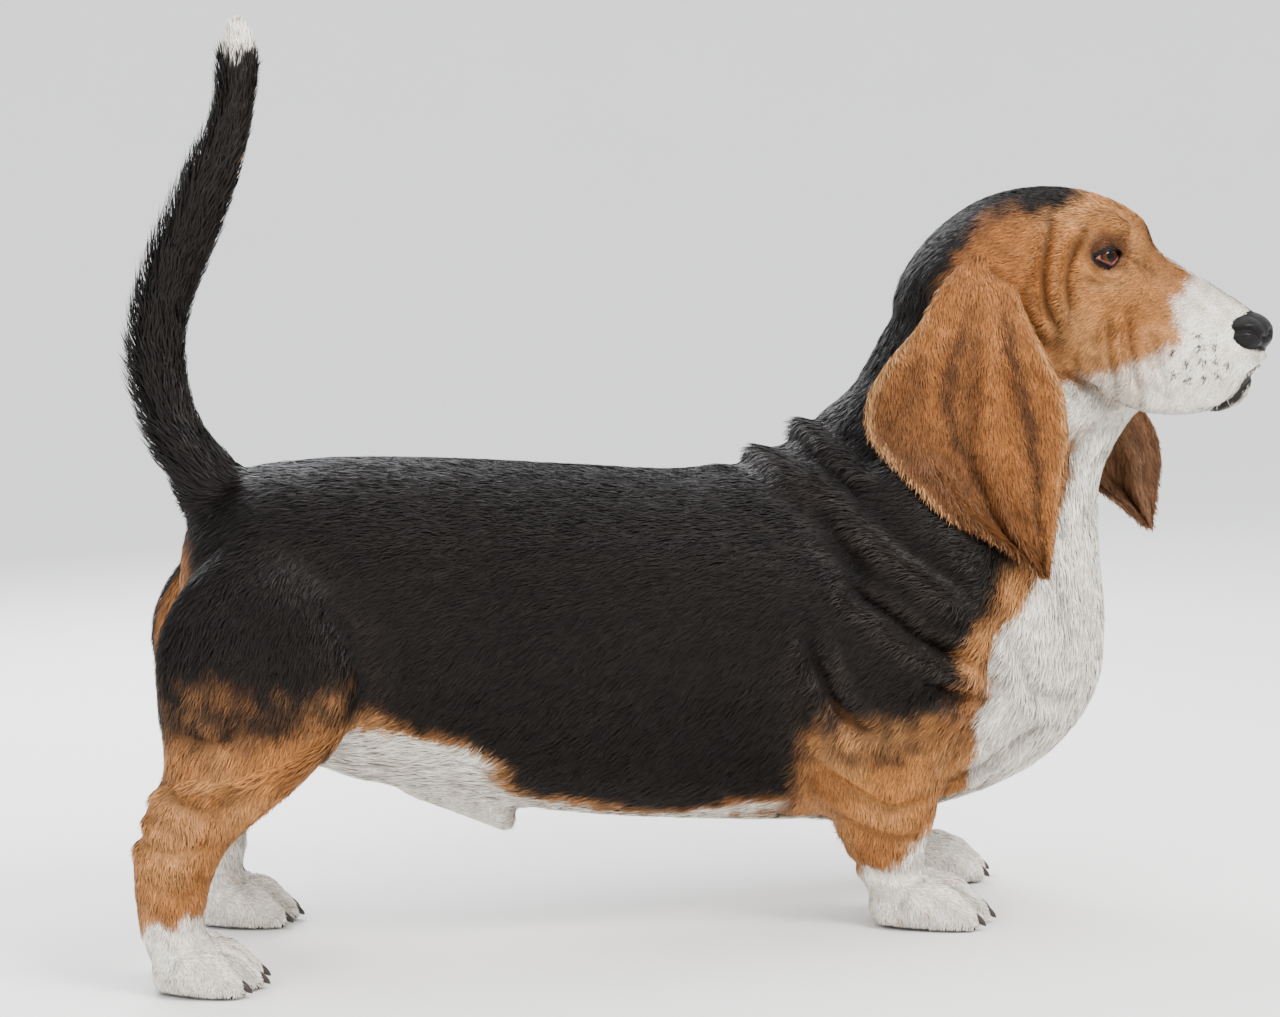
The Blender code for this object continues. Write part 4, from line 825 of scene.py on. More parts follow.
def model_eye(skin, side):
    """Sinks a socket, stands the lids over the eyeball, and opens them on it."""
    head = in_head_axes(skin.co)
    near = (eye_distance(head, side) < 0.034) & (from_eye(head, side)[0] > -0.012)
    out, ahead, rise = from_eye(head[near], side)
    away = np.hypot(ahead, rise)
    lid = EYE_RADIUS + LID
    sunk = out - SOCKET * bell(away, 0.016)
    over = np.sqrt(np.maximum(lid**2 - away**2, 0))
    new = np.where(away < lid, np.maximum(sunk, over), sunk)
    upper, lower = lid_gap(ahead)
    above = rise - ahead * LID_SLANT
    opened = (above < upper) & (above > lower)
    new[opened] = np.sqrt(np.maximum((EYE_RADIUS - 0.0022) ** 2 - away**2, 0))[opened]
    bag = bell(away - 0.0145, 0.0022) * ramp(-rise, 0.001, 0.008)
    new += 0.0018 * bag
    skin.co[near] += ((new - out)[:, None] * np.array(eye_axes(side)[1])) @ HEAD_AXES.T


# The skin


def refine(obj, chosen):
    """Halves the faces whose points are chosen."""
    inside = chosen(rows_of(obj.data.vertices, "co").astype(float))
    work = bmesh.new()
    work.from_mesh(obj.data)
    edges = [e for e in work.edges if inside[e.verts[0].index] and inside[e.verts[1].index]]
    bmesh.ops.subdivide_edges(work, edges=edges, cuts=1, use_grid_fill=True)
    bmesh.ops.triangulate(work, faces=[f for f in work.faces if len(f.verts) > 4])
    work.to_mesh(obj.data)
    work.free()


def head_share(co):
    """1 on the head, 0 on the body."""
    z = co[:, 2]
    return ramp(in_head_axes(co)[:, 0] + (z - 0.42) * 0.6, 0.02, 0.07) * ramp(z, 0.345, 0.365)


def make_flesh():
    """The outer surface of the coat, as the solids have it but finer, and the object that carries it."""
    obj = fused("skin", add_all, VOXEL)
    refine(obj, lambda co: (in_head_axes(co)[:, 0] > 0.06) & (co[:, 2] > 0.365))
    skin = Skin(obj.data)
    on_head = head_share(skin.co)
    low = 1 - ramp(skin.co[:, 2], 0.045, 0.075)
    skin.smooth(3)
    skin.smooth(26, np.clip(1 - on_head - low, 0, 1))
    skin.smooth(5, on_head)
    skin.write()
    refine(obj, lambda co: near_eyes(co) > 0)
    skin = Skin(obj.data)
    skin.smooth(8, near_eyes(skin.co))
    on_head = head_share(skin.co)
    model_folds(skin, on_head)
    model_head(skin, on_head)
    skin.smooth(2)
    for side in (1, -1):
        model_eye(skin, side)
    skin.smooth(1, near_eyes(skin.co) * 0.6)
    skin.write()
    return obj, skin


def sink_under_coat(obj, skin):
    """Moves the skin in by the coat's depth, and up off the floor."""
    outside = Surface(obj.data)
    skin.push(-coat_depth(outside.co, outside.normal))
    skin.smooth(1)
    skin.co[:, 2] = np.maximum(skin.co[:, 2], FLOOR + 0.0003)
    skin.write()
    obj.data.shade_smooth()


def finish_skin(obj, material):
    """Takes the skin down to what the coat lets show of it, and colours it."""
    obj.data.materials.clear()
    obj.data.materials.append(material)
    obj.modifiers.new("Thin", "DECIMATE").ratio = SKIN_SHARE
    apply_modifiers(obj)
    surface = Surface(obj.data)
    set_colour(obj.data, skin_colours(surface.co, surface.normal))
    return settled(obj)


# Where things are, and their colours


class Places(NamedTuple):
    """How much each point belongs to each part of the animal, from 0 to 1."""

    head: np.ndarray
    muzzle: np.ndarray
    neck: np.ndarray
    breast: np.ndarray
    thigh: np.ndarray
    leg: np.ndarray
    paw: np.ndarray
    tail: np.ndarray
    belly: np.ndarray


def places(co):
    x, y, z = co.T
    side = np.abs(y)
    on_head = head_share(co)
    ahead, across, height = in_head_axes(co).T
    tail = ramp(z - 0.335 + (-0.25 - x) * 0.2, 0.0, 0.03) * ramp(-x, 0.225, 0.245)
    hind = ramp(side, 0.034, 0.048) * ramp(along_edge(z, THIGH_FRONT) - x, -0.006, 0.004)
    fore = ramp(side, 0.040, 0.054) * ramp(x, 0.085, 0.100) * (1 - ramp(x, 0.235, 0.250))
    leg = np.maximum(hind * (1 - ramp(z, 0.115, 0.155)), fore * (1 - ramp(z, 0.125, 0.165)))
    leg = np.maximum(leg, 1 - ramp(z, 0.060, 0.070))
    return Places(
        head=on_head,
        muzzle=on_head * ramp(ahead, 0.135, 0.165),
        neck=ramp((x - 0.126) * 0.4535 + (z - 0.360) * 0.891, -0.030, 0.030) * (1 - on_head),
        breast=ramp(x, 0.215, 0.285) * (1 - on_head),
        thigh=ramp(-x, 0.190, 0.270) * (1 - tail),
        leg=leg,
        paw=1 - ramp(z, 0.034, 0.046),
        tail=tail,
        belly=ramp(along_edge(x, BELLY_EDGE) - z, -0.006, 0.006) * (1 - leg),
    )


def furrow_shade(flat, folds, spread, full_depth):
    """How dark the furrows among the folds are, from 0 to 1."""
    shade = np.zeros(len(flat))
    for height, width, *path in folds:
        if height < 0:
            off, _ = distance_to_path(flat, path)
            shade = np.maximum(shade, bell(off, spread * width) * min(1.0, -height / full_depth))
    return shade


def fold_shade(co, on_head):
    """How dark the coat lies in shade, from 0 to 1: in each furrow, between the toes, under the flews."""
    head = in_head_axes(co)
    beside = on_head * ramp(np.abs(head[:, 1]), 0.010, 0.024)
    shade = (1 - on_head) * 0.6 * furrow_shade(co[:, [0, 2]], BODY_FOLDS, 0.7, 0.001)
    shade = np.maximum(shade, beside * furrow_shade(head[:, [0, 2]], HEAD_FOLDS, 0.8, 0.0035))
    for paw in PAWS:
        near = (co[:, 1] * paw.across > 0) & (np.abs(co[:, 0] - paw.heel) < 0.12) & (co[:, 2] < 0.06)
        shade[near] = np.maximum(shade[near], 0.9 * toe_grooves(co[near], paw) / TOE_GROOVE)
    under = along_edge(head[:, 0], LIP_EDGE) - 0.003 - head[:, 2]
    return np.maximum(shade, 0.8 * beside * bell(under, 0.004) * ramp(head[:, 0], 0.095, 0.110))


def fold_light(co, on_head):
    """How much painted highlight the ridges of the folds get, from 0 to 1."""
    light = np.zeros(len(co))
    for height, width, *path in BODY_FOLDS:
        off, along = distance_to_path(co[:, [0, 2]], path)
        away = off if height > 0 else off - 1.8 * width
        ridge = bell(away, 0.8 * width) * min(1.0, abs(height) / 0.006)
        light = np.maximum(light, ridge * ramp(along, 0.05, 0.25) * (1 - ramp(along, 0.75, 0.95)))
    return light * (1 - on_head)


def tan_share(co, facing, at, ragged):
    """Where the coat is tan: inside and low on the legs, seat, flanks, throat, cheeks and brows."""
    x, y, z = co.T
    side = np.abs(y)
    ahead, _, height = in_head_axes(co).T
    inner = ramp(-facing[:, 1] * np.sign(y), 0.2, 0.6) * (1 - at.head)
    thigh = ramp(-x, 0.195, 0.215) * (1 - ramp(z + 3 * ragged, 0.150, 0.215))
    arm = ramp(x, 0.085, 0.100) * (1 - ramp(z + 3 * ragged, 0.135, 0.185)) * ramp(side, 0.04, 0.055)
    seat = ramp(-x, 0.318, 0.335) * (1 - ramp(side + ragged, 0.030, 0.055)) * (1 - ramp(z, 0.295, 0.315))
    between_thighs = ramp(-x, 0.200, 0.240) * (1 - ramp(side, 0.040, 0.060)) * (1 - ramp(z, 0.230, 0.260))
    flank = ramp(along_edge(x, BELLY_EDGE) + 0.009 - z + ragged, -0.006, 0.006) * (1 - at.leg)
    throat = ramp(x - along_edge(z, CHEST_EDGE) + 0.022 + ragged, -0.012, 0.010) * (1 - at.head)
    face = at.head * ramp(along_edge(ahead, CROWN_EDGE) - height + 1.2 * ragged, -0.007, 0.010)
    shares = [thigh, arm, seat, between_thighs, 0.85 * flank, throat, face, 0.8 * inner]
    return np.maximum.reduce(shares)


def white_share(co, facing, at, ragged):
    """Where the coat is white: belly, chest, stockings, the tail's tip, the muzzle and the blaze."""
    x, y, z = co.T
    side = np.abs(y)
    ahead, across, height = in_head_axes(co).T
    thigh_edge = np.where(side > 0.036, along_edge(z, THIGH_FRONT) + 0.006, -1)
    arm = ramp(side, 0.045, 0.055) * ramp(x, 0.080, 0.095)
    arm *= (1 - ramp(x, 0.224, 0.232)) * (1 - ramp(z, 0.17, 0.20))
    belly = ramp(along_edge(x, BELLY_EDGE) - z + ragged, -0.003, 0.004) * (1 - arm)
    belly *= ramp(x - thigh_edge, -0.003, 0.003)
    chest = ramp(x - along_edge(z, CHEST_EDGE) + ragged, -0.003, 0.004) * (1 - arm) * (z < 0.372)
    under_jaw = at.head * ramp(along_edge(ahead, LIP_EDGE) - height, -0.002, 0.004)
    stocking = 1 - ramp(z + 1.2 * ragged - 0.006 * ramp(facing[:, 0], 0, 0.5), 0.047, 0.055)
    tip = at.tail * ramp(z + 1.5 * ragged, 0.632, 0.642)
    snout = ramp(ahead - 0.171 - 0.55 * (height - 0.415) + 1.3 * ragged, -0.008, 0.008)
    lip = ramp(0.402 + 0.35 * (ahead - 0.12) - height + ragged, -0.006, 0.008) * ramp(ahead, 0.100, 0.125)
    blaze = along_edge(ahead, BLAZE_HALF_WIDTH) - np.abs(across) + 0.35 * ragged
    blaze = ramp(blaze, -0.0022, 0.0022) * ramp(height, 0.43, 0.45) * ramp(ahead, 0.058, 0.070)
    face = at.head * np.maximum.reduce([snout, 0.75 * lip, blaze])
    return np.maximum.reduce([belly, chest, under_jaw, stocking, tip, face])


def tan_coat(co, at):
    """The tan itself, with paler and redder patches, and redder at the back of the head."""
    pale = 0.35 * np.clip(0.5 + 0.5 * wobble(co, 0.030, 3), 0, 1)
    red = 0.35 * np.clip(wobble(co, 0.05, 4), 0, 1)
    back = at.head * ramp(0.100 - in_head_axes(co)[:, 0], -0.020, 0.040) * 0.75
    return blend(TAN, (FAWN, pale), (RUST, red), (RUST, back))


def mark_eyes(colour, head, on_head):
    """Paints shade round each eye, and a paler painted highlight on the pouch under it."""
    pouch_highlight = 0.0
    for side in (1, -1):
        out, ahead, rise = from_eye(head, side)
        mine = head[:, 1] * side > 0
        pouch_highlight += bell(rise + 0.0175, 0.0045) * bell(ahead, 0.011) * mine
        off = np.hypot(ahead * 0.85 - rise * 0.15, (rise - 0.003) * np.where(rise > 0, 0.85, 1.0))
        go_over(colour, EYE_SHADE, 0.85 * (1 - ramp(off, 0.0095, 0.0200)) * mine * (out > 0))
    go_over(colour, FAWN, 0.45 * on_head * pouch_highlight)


def mark_muzzle(colour, head, at, ragged):
    """Darkens the whiskers' roots, and the lower lip: its pigment, widened below the mouth as painted shade.
    """
    ahead, across, height = head.T
    roots = zip(WHISKER_ROOTS[0::2], WHISKER_ROOTS[1::2])
    off = np.min([np.hypot(ahead - x, height - z) for x, z in roots], axis=0)
    go_over(colour, BARE, at.muzzle * (1 - ramp(off, 0.0016, 0.0028)) * ramp(np.abs(across), 0.012, 0.018))
    below_lip, _ = distance_to_path(head[:, [0, 2]], MOUTH)
    # The lower lip's dark pigment, widened below the mouth into painted shade.
    chin = at.head * ramp(along_edge(ahead, LIP_EDGE) - height, -0.0010, 0.0012) * ramp(ahead, 0.190, 0.205)
    go_over(colour, BARE, 0.97 * chin * (1 - ramp(below_lip + 0.25 * ragged, 0.0052, 0.0072)))


def markings_and_painted_light(co, facing):
    """The coat's colour with painted shade and highlights, from where each point is and which way it faces.
    """
    at, head = places(co), in_head_axes(co)
    ragged = 0.0050 * wobble(co, 0.045, 1) + 0.0028 * wobble(co, 0.014, 2)
    tan, white = tan_share(co, facing, at, ragged), white_share(co, facing, at, ragged)
    ticks = ramp(wobble(co, 0.0075, 5), 1.25, 1.65) * white * np.maximum(at.muzzle, at.leg) * 0.55
    colour = blend(BLACK, (tan_coat(co, at), tan), (WHITE, white), (TAN, ticks))
    # Painted shade in the furrows, between the toes and under the flews, and painted highlight on the ridges.
    colour *= (1 - 0.6 * fold_shade(co, at.head))[:, None]
    colour += np.array(RIDGE_HIGHLIGHT) * fold_light(co, at.head)[:, None]
    mark_eyes(colour, head, at.head)
    mark_muzzle(colour, head, at, ragged)
    return colour


def in_eye_opening(head, side):
    """Which points in the head's axes lie in an eye's opening or on its bare rim."""
    out, ahead, rise = from_eye(head, side)
    half_length, margin = LID_HALF_LENGTH + 0.0015, 0.0012
    upper, lower = lid_gap(ahead, 0.0062, 0.0086, half_length)
    above = rise - ahead * LID_SLANT
    within = (above < upper + margin) & (above > lower - margin)
    return within & (np.abs(ahead) < half_length) & (out > 0)


def bare_places(co, facing):
    """1 where no coat grows: in the eyes' openings, under the nose, on the lower lip and on the soles."""
    head = in_head_axes(co)
    ahead, _, height = head.T
    bare = in_eye_opening(head, 1) | in_eye_opening(head, -1)
    bare |= (((head - NOSE_CENTRE) / [0.0212, 0.0272, 0.0168]) ** 2).sum(axis=1) < 1
    off, _ = distance_to_path(head[:, [0, 2]], MOUTH)
    bare |= (off < 0.0050) & (along_edge(ahead, LIP_EDGE) > height) & (ahead > 0.199) & (ahead < 0.250)
    bare |= (co[:, 2] < 0.004) & (facing[:, 2] < -0.3)
    return bare.astype(float)


def skin_colours(co, facing):
    """The coat's colours and painted light, with dark bare skin at the lids, lips, nose and pads."""
    head = in_head_axes(co)
    ahead, across, height = head.T
    lids = [1 - ramp(eye_distance(head, side), 0.0130, 0.0165) for side in (1, -1)]
    lip = 1 - ramp(np.abs(height - along_edge(ahead, LIP_EDGE) + 0.0012), 0.0018, 0.0040)
    lip *= ramp(ahead, 0.165, 0.190) * ramp(np.abs(across), 0.006, 0.012)
    from_nose = np.linalg.norm((head - NOSE_CENTRE) / [0.0220, 0.0275, 0.0176], axis=1)
    pad = (1 - ramp(co[:, 2], 0.003, 0.007)) * ramp(-facing[:, 2], 0.0, 0.4)
    dark = np.maximum.reduce([*lids, lip, 1 - ramp(from_nose, 0.95, 1.08), pad])
    return blend(markings_and_painted_light(co, facing), (BARE, dark))


# The coat


def along_surface(way, facing):
    """Ways laid along the surface, as unit vectors."""
    way = way - facing * (way * facing).sum(axis=1)[:, None]
    return way / (np.linalg.norm(way, axis=1)[:, None] + 1e-9)


def lie_on_head(head):
    """The way the hair lies on the head: back, down the cheeks and flews, and up over the top."""
    ahead, across, height = head.T
    down = -0.25 - 0.5 * ramp(0.47 - height, 0.0, 0.05)
    flew = ramp(0.425 - height, 0.0, 0.025) * ramp(ahead, 0.095, 0.125)
    top = ramp(height, 0.495, 0.515) * (1 - ramp(np.abs(across), 0.015, 0.045))
    way = vectors(-1.0, 0.20 * np.sign(across), down)
    return blend(way, ((-0.55, 0, -0.85), flew), ((-1.0, 0, 0.25), top)) @ HEAD_AXES.T


def lie_of_coat(co, facing):
    """The way the hair lies at each point: a unit vector along the surface."""
    x, y, z = co.T
    at = places(co)
    fall = 0.10 + 0.85 * ramp(0.345 - z, 0.0, 0.20)
    step = 0.004
    up_tail = (along_edge(z + step, TAIL_LINE) - along_edge(z - step, TAIL_LINE)) / (2 * step)
    up_tail -= 0.25 * ramp(-facing[:, 0], 0.0, 0.8)
    over_toes = at.paw * ramp(facing[:, 2] + facing[:, 0] * 0.6, -0.2, 0.3)
    way = blend(
        vectors(-1.0, 0.0, -fall),
        ((-0.42, 0.0, -0.90), at.neck),
        ((-0.20, 0.0, -1.00), at.breast * (1 - ramp(-facing[:, 2], 0.3, 0.8))),
        ((-0.40, 0.0, -0.90), at.thigh * (1 - ramp(z, 0.27, 0.34))),
        ((-1.00, 0.0, 0.0), at.belly),
        ((-0.12, 0.0, -1.00), at.leg),
        (vectors(1.00, 0.08 * np.sign(y), -0.45), over_toes),
        (vectors(up_tail, 0.0, 1.0), at.tail),
        (lie_on_head(in_head_axes(co)), at.head),
    )
    return along_surface(way, facing)


def coat_form(co, facing):
    """Length, width and rise of the tufts at each point."""
    at = places(co)
    brush = at.tail * ramp(-facing[:, 0], 0.25, 0.85) * (1 - ramp(co[:, 2], 0.600, 0.650))
    off, _ = distance_to_path(co[:, [0, 2]], SHEATH_LINE)
    form = blend(
        ON_BODY,
        (ON_NECK, at.neck),
        (ON_THIGH, at.thigh),
        (ON_BELLY, at.belly),
        (ON_SHEATH, (1 - ramp(off, 0.012, 0.022)) * (1 - ramp(np.abs(co[:, 1]), 0.016, 0.024))),
        (ON_LEG, at.leg),
        (ON_PAW, at.paw),
        (ON_TAIL, at.tail),
        (ON_BRUSH, brush),
        (ON_HEAD, at.head),
        (ON_MUZZLE, at.muzzle),
        (ON_LIDS, near_eyes(co)),
    )
    form[:, 0] *= 1 - 0.45 * ramp(co[:, 2], 0.630, 0.660)
    return form


def coat_depth(co, facing):
    """How far the skin lies under the outside of the coat."""
    length, _, rise = coat_form(co, facing).T
    return 0.95 * length * rise


def tufts_to_cover(length, width):
    """How many tufts of a size grow to a square metre."""
    return COVER / (length * width * 0.72)


def blades(roots, facing, way, form, colour, rng):
    """Thin tapering blades, bent over the skin, one from each root: points, faces, normals, colours."""
    count = len(roots)
    length, width, rise = form.T
    length = length * rng.uniform(0.75, 1.15, count)
    rise = rise * rng.uniform(0.6, 1.25, count)
    turn = 0.13 * wobble(roots, 0.022, 11) + 0.10 * rng.normal(size=count)
    way = way * np.cos(turn)[:, None] + np.cross(facing, way) * np.sin(turn)[:, None]
    across = np.cross(facing, way)
    flat = across + facing * (rng.normal(size=count)[:, None] * 0.25)
    half = (width / 2)[:, None] * flat
    lift = (length * rise)[:, None] * facing
    along = length[:, None] * way
    bend = (0.10 * length * rng.normal(size=count))[:, None] * across
    base = roots - facing * 0.0004
    middle = roots + along * 0.48 + lift * 0.72
    tip = roots + along + lift + bend
    co = np.stack([base - half, base + half, middle + half * 0.85, middle - half * 0.85, tip], axis=1)
    co[..., 2] = np.maximum(co[..., 2], FLOOR + 0.0002)
    corners = np.array([0, 2, 1, 0, 3, 2, 3, 4, 2])
    faces = (np.arange(count)[:, None] * 5 + corners).reshape(-1, 3)
    normal = facing + way * 0.12 + flat * (0.30 * rng.normal(size=count))[:, None]
    normal /= np.linalg.norm(normal, axis=1)[:, None]
    shade = 1 + 0.16 * rng.normal(size=count)
    shade += 0.10 * wobble(roots, 0.010, 12) + 0.06 * wobble(roots, 0.07, 13)
    up_blade = np.array([0.62, 0.62, 0.95, 0.95, 1.12])[None, :, None]
    tone = colour[:, None] * np.clip(shade, 0.55, 1.6)[:, None, None] * up_blade
    tone = np.clip(tone, 0, 0.92)
    return co.reshape(-1, 3), faces, np.repeat(normal, 5, axis=0), tone.reshape(-1, 3)


def unwrapped(co, centre, axis, spin):
    """Each root's place on a cylinder round its part, as shares of the turn and the length."""
    axis = np.array(axis, float) / np.linalg.norm(axis)
    first = np.cross(axis, spin)
    first /= np.linalg.norm(first)
    off = co - np.array(centre)
    along = off @ axis
    turn = np.arctan2(off @ first, off @ np.cross(axis, first)) / (2 * np.pi) + 0.5
    u = (turn - turn.min()) / (turn.max() - turn.min() + 1e-9)
    v = (along - along.min()) / (along.max() - along.min())
    return np.stack([u, v], axis=1) * 0.99 + 0.005


def grow_coat(name, surface, chosen, per_area, look, wrap, material, seed):
    """One piece of the coat, over the chosen faces of a surface."""
    colours, lie, form = look
    rng = np.random.default_rng(seed)
    roots, facing = surface.roots(chosen, per_area, rng)
    colour = colours(roots + 0.0015 * rng.normal(size=roots.shape), facing)
    co, faces, normals, tone = blades(roots, facing, lie(roots, facing), form(roots, facing), colour, rng)
    uv = (unwrapped(roots, *wrap)[:, None] + PATCH).reshape(-1, 2)
    return mesh_from(name, co, faces, material, tone, uv, normals)


def body_parts(middle):
    """Each piece of the body's coat: its name, its faces, what it is unwrapped round, and its slot."""
    x, y, z = middle.T
    at = places(middle)
    head = at.head > 0.5
    tail = ~head & (at.tail > 0.5)
    low = ~head & ~tail & (z < 0.165) & (np.abs(y) > 0.035)
    fore = (low & (x > 0.085) & (x < 0.26)) | ((z < 0.065) & (x > 0))
    hind = (low & (x < -0.19)) | ((z < 0.065) & (x < 0))
    neck = ~head & (at.neck > 0.5)
    trunk = ~(head | tail | fore | hind | neck)
    right, head_right, front = y < 0, in_head_axes(middle)[:, 1] < 0, x > 0.02
    along, up = (1, 0, 0), (0, 0, 1)
    face = ((0.30, -0.02, 0.45), HEAD_AXES[:, 0], up)
    shoulder, back = ((0.0, 0.0, 0.22), along, up), ((0.0, 0.0, 0.24), along, up)
    return (
        ("coat_head_right", head & head_right, face, "tan_coat"),
        ("coat_head_left", head & ~head_right, face, "tan_coat"),
        ("coat_neck", neck, ((0.22, 0.0, 0.35), (0.45, 0, 0.89), along), "tan_coat"),
        ("coat_shoulder_right", trunk & right & front, shoulder, "black_coat"),
        ("coat_shoulder_left", trunk & ~right & front, shoulder, "black_coat"),
        ("coat_back_right", trunk & right & ~front, back, "black_coat"),
        ("coat_back_left", trunk & ~right & ~front, back, "black_coat"),
        ("coat_foreleg_right", fore & right, ((0.17, -0.07, 0.0), up, along), "white_coat"),
        ("coat_foreleg_left", fore & ~right, ((0.21, 0.08, 0.0), up, along), "white_coat"),
        ("coat_hindleg_right", hind & right, ((-0.33, -0.09, 0.0), up, along), "tan_coat"),
        ("coat_hindleg_left", hind & ~right, ((-0.30, 0.09, 0.0), up, along), "tan_coat"),
        ("coat_tail", tail, ((-0.32, 0.0, 0.4), up, along), "black_coat"),
    )


def grow_body_coat(body, material):
    """The pieces of the body's coat, each with its slot."""
    surface = Surface(body.data)
    middle, facing = surface.middle, surface.normal[surface.faces].mean(axis=1)
    facing /= np.linalg.norm(facing, axis=1)[:, None] + 1e-9
    length, width, _ = coat_form(middle, facing).T
    per_area = tufts_to_cover(length, width) * (1 - bare_places(middle, facing))
    look = (markings_and_painted_light, lie_of_coat, coat_form)
    made = []
    for index, (name, chosen, wrap, slot) in enumerate(body_parts(middle)):
        piece = grow_coat(name, surface, chosen, per_area, look, wrap, material, 100 + index)
        made.append((piece, slot, ()))
    return made


# Ears and nose


def side_ray(flesh, ahead, height, side, out, reach):
    """A ray's start beside the head, and where it meets the flesh straight inwards, or None."""
    start = HEAD_PLACE @ Vector((ahead, out * side, height))
    inward = (HEAD_PLACE.to_3x3() @ Vector((0, -side, 0))).normalized()
    return start, flesh.ray_cast(start, inward, reach)[0]


def ear_sheet(ear, flesh):
    """The middle surface of an ear, in the head's axes, draped over the flesh."""
    rows, columns = EAR_GRID
    fine = smooth_through(EAR_STATIONS, 8)
    at = np.linspace(0, len(fine) - 1, rows)
    station = np.stack([np.interp(at, np.arange(len(fine)), column) for column in fine.T], axis=1)
    down, across = np.linspace(0, 1, rows)[:, None], np.linspace(0, 1, columns)[None, :]
    flat = station[:, None, 0:2] * (1 - across[..., None]) + station[:, None, 2:4] * across[..., None]
    carried = ramp(down, 0.0, 0.7)
    ahead, rise = flat[..., 0] + ear.forward * carried, flat[..., 1] + ear.rise * carried
    out = np.repeat(station[:, 4:5], columns, axis=1)
    out -= 0.010 * np.maximum(across - 0.6, 0) ** 2 * 6
    rest = np.zeros_like(out)
    for i, j in np.ndindex(rows, columns):
        start, hit = side_ray(flesh, ahead[i, j], rise[i, j], ear.side, 0.4, 0.38)
        if hit is not None:
            rest[i, j] = 0.4 - (hit - start).length + EAR_THICKNESS / 2 + EAR_CLEARANCE
    laid = ramp(down, 0.06, 0.20)
    out = np.where(rest > out, out * (1 - laid) + rest * laid, out)
    for _ in range(14):
        padded = np.pad(out, 1, mode="edge")
        even = (padded[:-2, 1:-1] + padded[2:, 1:-1] + padded[1:-1, :-2] + padded[1:-1, 2:]) / 4
        out = np.maximum(even, rest * (laid > 0.99))
    ripple = sum(height * bell(across - where, width) for where, height, width in EAR_FOLDS)
    ripple = ripple * (ramp(down, 0.10, 0.35) * (1 - 0.6 * ramp(down, 0.8, 1.0)))
    out += ripple - np.minimum(ripple, 0) * (rest > 0)
    return np.stack([ahead, out * ear.side, rise], axis=-1)


def finer(sheet, times):
    """The sheet with that many times its rows and columns, on smooth curves through its points."""
    for _ in range(2):
        count = len(sheet)
        at = np.linspace(0, count - 1, (count - 1) * times + 1)
        i = np.minimum(at.astype(int), count - 2)
        t = (at - i)[:, None, None]
        ends = np.concatenate([2 * sheet[:1] - sheet[1:2], sheet, 2 * sheet[-1:] - sheet[-2:-1]])
        p, a, b, n = ends[i], ends[i + 1], ends[i + 2], ends[i + 3]
        sheet = 2 * a + (b - p) * t + (2 * p - 5 * a + 4 * b - n) * t**2 + (3 * a - p - 3 * b + n) * t**3
        sheet *= 0.5
        sheet = sheet.transpose(1, 0, 2)
    return sheet


def shell(sheet, thickness):
    """A closed mesh round a sheet in the head's axes, with rounded edges."""
    rows, columns, _ = sheet.shape
    normal = np.cross(np.gradient(sheet, axis=0), np.gradient(sheet, axis=1))
    normal /= np.linalg.norm(normal, axis=2, keepdims=True) + 1e-12
    edge, ends = np.abs(np.linspace(-1, 1, columns)) ** 6, np.abs(np.linspace(-1, 1, rows)) ** 12
    half = thickness / 2 * np.sqrt(np.clip(1 - edge, 0.06, 1))[None, :, None]
    half = half * np.sqrt(np.clip(1 - ends, 0.15, 1))[:, None, None]
    into = bmesh.new()
    rings = np.concatenate([sheet + normal * half, (sheet - normal * half)[:, ::-1]], axis=1)
    closed_tube(into, rings, HEAD_PLACE)
    return into


def over_ear(ahead, height, ear):
    """How far across an ear each place is, from its front edge, 0, to its back edge, 1."""
    stations = np.array(EAR_STATIONS[::-1])
    front, back = stations[:, 0:2], stations[:, 2:4]
    carried = ramp((front[-1, 1] - height) / (front[-1, 1] - front[0, 1]), 0.0, 0.7)
    ahead, height = ahead - ear.forward * carried, height - ear.rise * carried
    front_edge = np.interp(height, front[:, 1], front[:, 0])
    back_edge = np.interp(height, back[:, 1], back[:, 0])
    return (front_edge - ahead) / (front_edge - back_edge)


def ear_colours(co, facing):
    """Tan with darker hind and lower parts and streaks, painted shade in the furrows, and a paler rim."""
    ahead, _, height = in_head_axes(co).T
    ragged = 0.006 * wobble(co, 0.050, 21) + 0.003 * wobble(co, 0.014, 22)
    place = over_ear(ahead, height, EARS["ear_right"] if co[:, 1].mean() < 0 else EARS["ear_left"])
    hind = 0.65 * ramp(place + 8 * ragged + 0.6 * (0.38 - height) / 0.1, 0.45, 1.10)
    streaks = 0.50 * ramp(wobble(co * [1, 1, 0.35], 0.030, 23), 0.35, 1.1)
    # Painted shade in the ear's furrows.
    furrows = [(where, width) for where, lift, width in EAR_FOLDS if lift < 0]
    furrows = [0.8 * bell(place + 3 * ragged - where, 0.7 * width) for where, width in furrows]
    dark = np.maximum.reduce([hind, streaks, *furrows]) * ramp(0.475 - height, 0.0, 0.05)
    rim = 0.55 * ramp(np.abs(place - 0.5), 0.455, 0.49) * ramp(0.470 - height, 0.0, 0.03)
    outside = blend(TAN, (RUST, np.full(len(co), 0.55)), ((0.055, 0.026, 0.014), dark), (FAWN, rim))
    # The inner face: its own brown, made darker as painted shade.
    inside = np.array((0.28, 0.150, 0.085)) * (1 - 0.45 * dark)[:, None]
    outer = ramp(facing[:, 1] * np.sign(co[:, 1]), -0.3, 0.2)[:, None]
    return outside * outer + inside * (1 - outer)


def ear_lie(co, facing):
    """Down the ear, and a little outwards to its rims."""
    ahead, _, height = in_head_axes(co).T
    spread = np.clip((ahead - 0.040) / 0.07, -1, 1) * ramp(0.42 - height, 0, 0.1)
    return along_surface(vectors(0.30 * spread + 0.05, 0.0, -1.0) @ HEAD_AXES.T, facing)


def ear_form(co, facing):
    return np.broadcast_to(np.array(ON_EAR), (len(co), 3))


